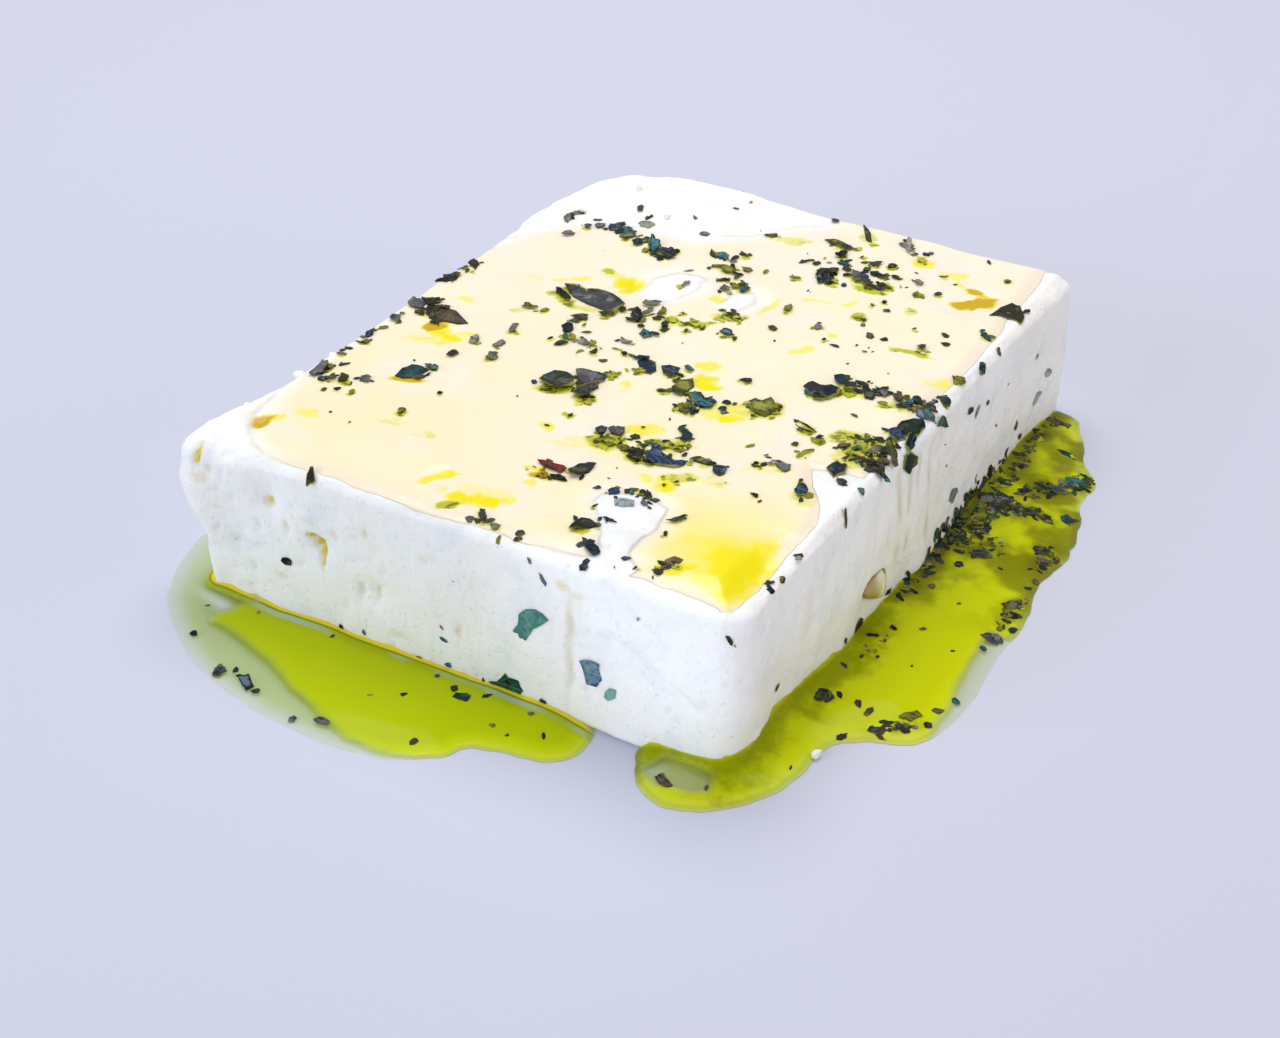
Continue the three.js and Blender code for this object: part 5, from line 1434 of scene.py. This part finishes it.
film = mix(tree, spread(tree, yellow, 0.08, 0.5, 0, 0.85), film, linear(249, 235, 96))
film = mix(tree, spread(tree, yellow, 0.45, 0.9), film, linear(248, 230, 0))
olive = ragged_mask(tree, "olive", ragged, 0.2)
film = mix(tree, spread(tree, olive, 0.12, 0.5, 0, 0.8), film, linear(230, 224, 104))
film = mix(tree, spread(tree, olive, 0.45, 0.8, 0, 0.9), film, linear(186, 186, 18))
flecks = spread(tree, speckle(tree, where_on, 0.6, 2), 0.53, 0.6)
wet_crumbs = times(tree, flecks, spread(tree, olive, 0.3, 0.7))
film = mix(tree, times(tree, wet_crumbs, 0.75), film, linear(84, 88, 0))
amber = ragged_mask(tree, "amber", ragged, 0.2)
film = mix(tree, spread(tree, amber, 0.15, 0.4, 0, 0.8), film, linear(244, 216, 20))
film = mix(tree, spread(tree, amber, 0.4, 0.75), film, linear(208, 172, 0))
wet_mask = spread(tree, wet_line, -0.05, plus(tree, 0.12, times(tree, soft_margin, 1.6)))
rough_skin = plus(tree, grain.outputs["Height"], times(tree, drawn_lines, 0.8))
skin_height = times(tree, rough_skin, spread(tree, wet_mask, 0, 1, 1.0, 0.08))
fit(
    tree,
    shader,
    Base_Color=mix(tree, wet_mask, curd_colour, film),
    Roughness=spread(tree, wet_mask, 0, 1, 0.72, 0.2),
    Coat_Weight=times(tree, wet_mask, 0.18),
    Coat_Roughness=0.06,
    Coat_IOR=1.47,
    Specular_IOR_Level=0.16,
    Subsurface_Weight=0.3,
    Subsurface_Radius=(1.0, 0.85, 0.6),
    Subsurface_Scale=0.0015,
    Normal=bumped(tree, skin_height, 0.95, 0.00045),
)

on_top = up > 0.5
stains = {kind: np.zeros(len(points)) for kind in STAINS}
for kind, values in stains_at(at[on_top, 0], at[on_top, 1]).items():
    stains[kind][on_top] = values
# A green halo of soaked curd beside many of the scraps, on the side where the oil runs off
top_fray = frayed(np.column_stack([at[on_top], np.full(on_top.sum(), 70.0)]), 0.55, 1.2)
u, v = at[on_top, 0] + top_fray[:, 0], at[on_top, 1] + top_fray[:, 1]
soak = np.zeros(len(u))
for (x, y, long, wide, turn, colour), seed in scrap_rows:
    if long < 1 or draw(seed * 0.77) < 0.4:
        continue
    size = 0.24 * long + 0.3
    dx, dy = u - x - 0.75 * size * TOWARDS_FRONT[0], v - y - 0.75 * size * TOWARDS_FRONT[1]
    near = np.abs(dx) + np.abs(dy) < 4 * size
    strength = 0.3 + 0.6 * draw(seed * 0.91)
    away = (dx[near] ** 2 + dy[near] ** 2) / size**2
    soak[near] = np.maximum(soak[near], strength * np.clip(1.2 - 0.8 * away, 0, 1))
stains["olive"][on_top] = np.maximum(stains["olive"][on_top], soak)

wet_on_top = np.where(on_top, wet, NO_OIL)
slab_masks = {
    "wet": wet_on_top,
    "margin": margin_softness(at[:, 0], at[:, 1]),
    "tint": film_tint(at[:, 0], at[:, 1]),
    "stain_and_shade": stain_and_shade,
    "streak": streak,
    # The pores' painted shade, on the upright faces and the dry top.
    "pore": 0.5 * pore * (1 - smooth(-0.2, 0.3, wet_on_top)),
}
slab = build("cheese_slab", points, slab_faces, {**slab_masks, **stains})
slab.data.materials.append(cheese)
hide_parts("feta_slab")
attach(slab, "root")

# The leaf's own marks: a pale midrib and side veins, blotches, and each scrap's own shade.
vein_group, way_in, way_out = new_group("leaf marks", ["Along", "Across", "Shade"], ["Vein", "Blotch"])
shade = way_in.outputs["Shade"]
across_size = maths(vein_group, "ABSOLUTE", way_in.outputs["Across"])
midrib = spread(vein_group, across_size, 0.02, 0.07, 1, 0)
swept = times(vein_group, across_size, -7.0)
slant = plus(vein_group, times(vein_group, way_in.outputs["Along"], 9.0), swept)
side_vein = spread(vein_group, maths(vein_group, "SINE", slant), 0.86, 1.0)
veins = maths(vein_group, "MAXIMUM", midrib, times(vein_group, side_vein, 0.5))
veins = times(vein_group, veins, spread(vein_group, shade, 0.2, 1.0))
own_shade = times(vein_group, maths(vein_group, "SUBTRACT", shade, 0.5), 0.35)
blotch = plus(vein_group, speckle(vein_group, way_in.outputs["Vector"], 1.1, 4, 0.65), own_shade)
fit(vein_group, way_out, Vein=veins, Blotch=spread(vein_group, blotch, 0.4, 0.64))

# Each colour of scrap has a dark and a light tone, a vein tone that also paints its glints, and a flecking
# tone.
HERB_TONES = {
    "slate": ((58, 58, 64), (112, 110, 116), (168, 166, 164), (20, 22, 26)),
    "navy": ((0, 10, 34), (4, 40, 80), (140, 166, 186), (0, 10, 24)),
    "teal": ((0, 38, 46), (12, 104, 112), (132, 172, 166), (4, 16, 40)),
    "olive": ((44, 48, 0), (126, 124, 8), (176, 174, 66), (12, 18, 4)),
    "dark": ((2, 10, 8), (36, 42, 28), (120, 122, 100), (0, 26, 30)),
    "brown": ((44, 34, 22), (98, 82, 58), (150, 134, 108), (18, 16, 12)),
    "pale": ((96, 96, 84), (162, 156, 138), (196, 190, 172), (60, 70, 68)),
    "soaked": ((132, 134, 2), (200, 200, 40), (222, 216, 104), (62, 66, 0)),
    "red": ((52, 6, 12), (116, 28, 26), (186, 116, 74), (34, 14, 12)),
    "sea": ((66, 124, 116), (104, 158, 146), (156, 190, 174), (60, 98, 112)),
    "steel": ((56, 86, 122), (98, 136, 148), (176, 184, 172), (44, 62, 100)),
    "green": ((0, 26, 18), (12, 84, 62), (100, 134, 92), (0, 10, 12)),
    "mossy": ((84, 90, 0), (176, 180, 20), (208, 206, 96), (28, 34, 2)),
    "amber": ((150, 112, 0), (214, 178, 30), (230, 206, 100), (90, 60, 0)),
    "mist": ((108, 118, 122), (156, 166, 170), (190, 196, 198), (88, 98, 100)),
}
CLEAR = ("sea", "pale", "red", "steel", "amber", "mist")  # colours whose rims took up no oil
for colour_name, (deep, light, rib, fleck) in HERB_TONES.items():
    made, tree, shader = new_material("herb " + colour_name)
    where_on = place_on(tree)
    marks = node(tree, "ShaderNodeGroup", node_tree=vein_group, Vector=where_on)
    for key in ("along", "across", "shade"):
        feed(tree, marks.inputs[key.capitalize()], attribute(tree, key))
    blotch, vein, ring = marks.outputs["Blotch"], marks.outputs["Vein"], attribute(tree, "ring")
    body = mix(tree, blotch, linear(*deep), linear(*light))
    flecked = spread(tree, speckle(tree, where_on, 0.55, 2), 0.56, 0.64, 0, 0.9)
    body = mix(tree, flecked, body, linear(*fleck))
    body = mix(tree, times(tree, vein, 0.55), body, linear(*rib))
    # Painted glints: highlights in the vein tone, in small patches away from the rim.
    glint = spread(tree, speckle(tree, where_on, 1.5, 3), 0.55, 0.66, 0, 0.4)
    body = mix(tree, times(tree, glint, spread(tree, ring, 0.6, 0.9, 1, 0)), body, linear(*rib))
    rim_shade = plus(tree, ring, times(tree, speckle(tree, where_on, 1.4, 2), 0.4))
    rim_tone = [c * 0.55 for c in deep]
    rim_strength = 0.2 if colour_name in CLEAR + SUNK else 0.7
    body = mix(tree, spread(tree, rim_shade, 1.0, 1.2, 0, rim_strength), body, linear(*rim_tone))
    if colour_name not in CLEAR:
        oily = plus(tree, ring, speckle(tree, where_on, 2.4, 3))
        body = mix(tree, spread(tree, oily, 1.44, 1.6, 0, 0.8), body, linear(146, 148, 12))
    fit(
        tree,
        shader,
        Base_Color=body,
        Roughness=spread(tree, blotch, 0, 1, 0.42, 0.24),
        Specular_IOR_Level=0.14,
        Normal=bumped(tree, maths(tree, "SUBTRACT", blotch, vein), 0.6, 0.00015),
    )
    shape, faces, rows = joined(herbs[colour_name])
    leaf_masks = dict(zip(("along", "across", "shade", "ring"), rows.T))
    piece = build("herb_" + colour_name, shape, faces, leaf_masks)
    piece.data.materials.append(made)
    piece.data.shade_flat()
    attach(piece, "root")


# Oil: clear yellow green where deep, pale and see-through at its thin rim. Along the curd painted shade
# darkens it, with a golden line where it climbs the foot and, in the left pool, a painted reflection by it.
for name, (shape, faces, from_rim, from_curd) in pools.items():
    is_left = name == "oil_pool_left"
    made, tree, shader = new_material(name.replace("_", " "))
    depth, near, glint = (attribute(tree, key) for key in ("depth", "near", "glint"))
    where_on = place_on(tree)
    drift = times(tree, swing(tree, where_on, 9, 3), 0.6)
    oil_tones = [
        (0.0, linear(222, 226, 120)),
        (0.16, linear(206, 216, 60)),
        (0.45, linear(196, 210, 6) if is_left else linear(206, 215, 6)),
        (0.95, linear(184, 198, 0) if is_left else linear(199, 207, 0)),
    ]
    body = ramp(tree, plus(tree, depth, times(tree, drift, spread(tree, depth, 0.1, 0.6))), oil_tones)
    foot = plus(tree, near, times(tree, drift, 0.8))
    if is_left:
        # Painted shade of the slab: the oil darkens within about 3 mm of the curd.
        body = mix(tree, spread(tree, foot, 1.4, 3.2, 0.4, 0), body, linear(146, 156, 0))
        # The golden line's outer edge turns dark olive, a narrow band of painted shade before the oil's
        # body.
        golden = mix(tree, spread(tree, foot, 0.75, 1.0), linear(232, 214, 52), linear(150, 150, 0))
        body = mix(tree, spread(tree, foot, 1.1, 1.35, 1, 0), body, golden)
        # Painted reflection of the curd: a pale, broken strip in the oil just beyond the golden line.
        strip = times(tree, spread(tree, foot, 1.1, 1.3), spread(tree, foot, 1.9, 2.4, 1, 0))
        strip = times(tree, strip, spread(tree, speckle(tree, where_on, 6, 2), 0.42, 0.56))
        body = mix(tree, times(tree, strip, 0.75), body, linear(178, 200, 176))
        thin = mix(tree, spread(tree, depth, 0.05, 0.9), linear(220, 236, 176), linear(202, 222, 110))
        thin = mix(tree, attribute(tree, "pale"), thin, linear(204, 222, 160))
    else:
        patchy = times(tree, swing(tree, where_on, 3, 4, 0.65), 16.0)
        shaded = plus(tree, plus(tree, near, times(tree, drift, 9.0)), patchy)
        body = mix(tree, spread(tree, shaded, 0.5, 5.8, 0.8, 0), body, linear(128, 136, 0))
        clouds = spread(tree, speckle(tree, where_on, 5, 3), 0.4, 0.56)
        clouded = times(tree, attribute(tree, "far"), clouds)
        body = mix(tree, times(tree, clouded, 0.78), body, linear(108, 106, 0))
        body = mix(tree, spread(tree, foot, 0.25, 0.7, 0.85, 0), body, linear(196, 200, 8))
        thin = mix(tree, spread(tree, depth, 0.05, 0.9), linear(218, 226, 176), linear(202, 214, 112))
    murky = spread(tree, speckle(tree, where_on, 1.8, 4, 0.65), 0.36, 0.56)
    murky = times(tree, attribute(tree, "murk"), murky)
    body = mix(tree, times(tree, murky, 0.85), body, linear(70, 64, 16))
    thin = mix(tree, glint, thin, linear(232, 240, 232))
    deep = attribute(tree, "deep")
    faintest, fullest = (0.14, 0.3) if is_left else (0.2, 0.42)
    thin_alpha = plus(tree, spread(tree, depth, 0.0, 0.9, faintest, fullest), times(tree, glint, 0.4))
    deep_alpha = times(tree, deep, spread(tree, depth, 0.0, 0.25, 0.6, 0.98))
    fit(
        tree,
        shader,
        Base_Color=mix(tree, deep, thin, body),
        Alpha=maths(tree, "MAXIMUM", thin_alpha, deep_alpha),
        Roughness=0.12,
        IOR=1.47,
        Specular_IOR_Level=0.06,
    )
    count = len(shape) // 2
    px, py = shape[:count, 0], shape[:count, 1]
    pool_fray = frayed(shape[:count], 0.7, 5)
    patches = [LEFT_DEEP] if is_left else RIGHT_THIN
    in_patch = [reach_inside(px + pool_fray[:, 0], py + pool_fray[:, 1], line) for line in patches]
    in_patch = np.max(in_patch, axis=0)
    by_corner = smooth(2.8, 0.9, from_curd) * smooth(-27, -33, px)
    murk = np.zeros(count)
    for x, y, along, across, turn, *_ in POOL_DRIFTS:
        murk = np.maximum(murk, hill(*turned(px - x, py - y, turn), along, across))
    masks = {
        "depth": np.clip(from_rim / (3.4 if is_left else 5.0), 0, 1),
        "deep": np.maximum(smooth(-1.6, 0.8, in_patch), by_corner) if is_left else smooth(1, -1, in_patch),
        "glint": hill(px + 35, py + 55.6 + 0.25 * (px + 35), 4.4, 1.1),
        "near": np.minimum(from_curd, 12),
        "pale": smooth(-39, -46, px),
        "far": smooth(-14, 6, py),
        "murk": murk,
    }
    both_sides = {key: np.tile(values, 2) for key, values in masks.items()}
    piece = build(name.replace("oil_pool", "oil_surface"), shape, faces, both_sides, crease=40)
    piece.data.materials.append(made)
    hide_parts(name)
    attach(piece, "root")


# A seed husk stuck low on the right face by the oil: a thin split teardrop shell, pale and translucent,
# with a brown rim and a darker tip.
HUSK = {"y": -15.4, "z": 5.8, "deep": 1.3}
# Its outline on the face, about its middle: along the face and up, from the tip round by the foot
HUSK_OUTLINE = table("""
    2.6 2.1, 3.4 1.1, 3.7 -0.8, 3.5 -2, 2.2 -2.3, -1 -0.8, -3.3 0.9, -3.8 1.9, -2.8 2.6, -0.6 2.8
""")
HUSK_RINGS, HUSK_STEPS = 9, 4


def husk_mesh():
    """A thin bulging shell in its own frame, with how near each point is to the rim and to the tip."""
    line = np.array(closed_curve(HUSK_OUTLINE, HUSK_STEPS))
    sides = len(line)
    rows, rim, tip = [], [], []
    for k in range(HUSK_RINGS + 1):
        ring = k / HUSK_RINGS
        for u, v in line * ring:
            lift = HUSK["deep"] * (1 - ring**2.2) + 0.22 * smooth(0.7, 0.95, ring)
            lift -= 0.1 * smooth(0.93, 1, ring)
            rows.append((u, v, lift + 0.1 * math.sin(3 * (u - v)) * (1 - ring)))
            rim.append(ring)
            tip.append(max(0, 1 - math.dist((u, v), HUSK_OUTLINE[0]) / 2.2))
    top = np.array(rows)
    back = top * (1, 1, 0) - (0, 0, 0.3)
    faces, n = [], len(top)
    for k in range(HUSK_RINGS):
        for i in range(sides):
            j = (i + 1) % sides
            a, b, c, d = (m * sides + q for m, q in ((k, i), (k, j), (k + 1, j), (k + 1, i)))
            if k == 0:
                faces += [(0, d, c), (n, n + c, n + d)]
            else:
                faces += [(a, d, c, b), (n + a, n + b, n + c, n + d)]
    last = HUSK_RINGS * sides
    for i in range(sides):
        j = (i + 1) % sides
        faces.append((last + i, n + last + i, n + last + j, last + j))
    used = sorted({i for f in faces for i in f})
    renumber = {old: new for new, old in enumerate(used)}
    faces = [tuple(renumber[i] for i in f) for f in faces]
    return np.concatenate([top, back])[used], faces, np.array(rim * 2)[used], np.array(tip * 2)[used]


shape, faces, rim, tip = husk_mesh()
husk_at, husk_facing = outline([WIDTH / 2], [HUSK["y"]])
spot = carve(husk_at, np.array([HUSK["z"]]), np.zeros(1), husk_facing)[0]
golden_side = smooth(0.8, -1.8, shape[:, 0])
shape = laid(shape, spot + (0.05, 0, 0), (1, 0, 0), 0)
husk = build("seed_husk", shape, faces, {"rim": rim, "tip": tip, "golden": golden_side})
made, tree, shader = new_material("seed husk")
where_on = place_on(tree)
ragged = times(tree, swing(tree, where_on, 1.1, 3), 0.3)
rim_line = spread(tree, plus(tree, attribute(tree, "rim"), ragged), 0.86, 0.97)
tip_line = spread(tree, plus(tree, attribute(tree, "tip"), ragged), 0.5, 0.8)
body = mix(tree, speckle(tree, where_on, 2, 3), linear(244, 238, 214), linear(224, 210, 156))
body = mix(tree, times(tree, attribute(tree, "golden"), 0.85), body, linear(158, 134, 48))
body = mix(tree, rim_line, body, linear(142, 112, 64))
body = mix(tree, tip_line, body, linear(96, 66, 40))
fit(
    tree,
    shader,
    Base_Color=body,
    Roughness=spread(tree, rim_line, 0, 1, 0.2, 0.45),
    Subsurface_Weight=0.2,
    Subsurface_Scale=0.001,
)
husk.data.materials.append(made)
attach(husk, "root")

# Crumbs of curd that broke off the slab: one fell into the oil at its foot, and the others still cling
# to the worn edges. Each row gives x, y, z and the size across.
CRUMBS = table("""
    46.2 -43.6 0.62 1.2, -39 -50.6 22.2 1.2, -39.8 -41 21.8 1.3, -39.4 -30.5 21.9 1.4,
    -38.2 -24.6 22.6 1.1, -33 32.8 23.5 1.1, -20 36.4 24.1 1, -28.8 43 24.3 1.1, -34.6 -50.4 22.6 0.9
""")


def crumb(x, y, z, size, seed):
    """One lumpy crumb about its place."""
    ball = bmesh.new()
    bmesh.ops.create_icosphere(ball, subdivisions=3, radius=size / 2)
    shape = np.array([v.co[:] for v in ball.verts])
    faces = [tuple(v.index for v in f.verts) for f in ball.faces]
    ball.free()
    lumps = 1 + 0.55 * noise(shape / size + seed * 3.1, 0.5) + 0.25 * noise(shape / size + seed, 0.2)
    squash = (1, 0.7 + 0.4 * draw(seed), 0.6 + 0.3 * draw(seed + 1))
    return shape * lumps[:, None] * squash + (x, y, z), faces, np.zeros((len(shape), 1))


shape, faces, _ = joined([crumb(*row, 40 + i) for i, row in enumerate(CRUMBS)])
crumbs = build("curd_crumbs", shape, faces)
made, tree, shader = new_material("curd crumb")
grain = node(tree, "ShaderNodeGroup", node_tree=grain_group, Vector=place_on(tree))
patch = grain.outputs["Patch"]
fit(
    tree,
    shader,
    Base_Color=mix(tree, patch, linear(252, 251, 248), linear(246, 241, 226)),
    Roughness=spread(tree, patch, 0, 1, 0.6, 0.45),
    Normal=bumped(tree, grain.outputs["Height"], 0.5, 0.0002),
)
crumbs.data.materials.append(made)
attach(crumbs, "root")


# The setting: a plain pale floor, daylight from above and behind, and cool and warm fill from the sides.
FLOOR_HALF_MM, FLOOR_LEVEL_MM = 1200, -0.05
floor_corners = [
    (x * FLOOR_HALF_MM, y * FLOOR_HALF_MM, FLOOR_LEVEL_MM) for x, y in ((-1, -1), (1, -1), (1, 1), (-1, 1))
]
floor = build("floor", floor_corners, [(0, 1, 2, 3)])
paint, tree, shader = new_material("floor paint")
fit(tree, shader, Base_Color=linear(203, 205, 222), Roughness=0.7)
floor.data.materials.append(paint)

world = bpy.data.worlds.new("studio")
bpy.context.scene.world = world
world.use_nodes = True
fit(world.node_tree, world.node_tree.nodes["Background"], Color=(0.93, 0.96, 1.0, 1), Strength=0.5)


def hang(lamp, place, aim):
    """Hangs a lamp at a place and turns it towards what it lights."""
    made = bpy.data.objects.new(lamp.name, lamp)
    bpy.context.collection.objects.link(made)
    made.location = place
    made.rotation_euler = (Vector(aim) - Vector(place)).to_track_quat("-Z", "Y").to_euler()


def soft_light(name, place, aim, size, watts, colour):
    lamp = bpy.data.lights.new(name, "AREA")
    lamp.shape = "DISK"
    lamp.size = size
    lamp.energy = watts
    lamp.color = colour
    hang(lamp, place, aim)


soft_light("daylight", (-0.15, 0.25, 0.7), (0, 0, 0), 0.6, 3.46, (1.0, 0.98, 0.95))
soft_light("cool_fill", (-0.35, -0.7, 0.3), (0, 0, 0.01), 0.5, 2.5, (0.8, 0.875, 1.0))
soft_light("warm_fill", (0.7, 0.1, 0.25), (0, 0, 0.01), 0.4, 0.85, (1.0, 0.86, 0.8))

# A narrow beam on the front right corner, which stands brightest
corner_light = bpy.data.lights.new("corner_light", "SPOT")
corner_light.energy = 2.6
corner_light.color = (0.84, 0.92, 1.0)
corner_light.spot_size = math.radians(6)
corner_light.spot_blend = 1
corner_light.shadow_soft_size = 0.008
hang(corner_light, (0.1, -0.6, 0.09), (0.031, -0.052, 0.022))

scene = bpy.context.scene
scene.view_settings.view_transform = "Standard"
scene.view_settings.look = "None"
scene.view_settings.exposure = 0
scene.view_settings.gamma = 1
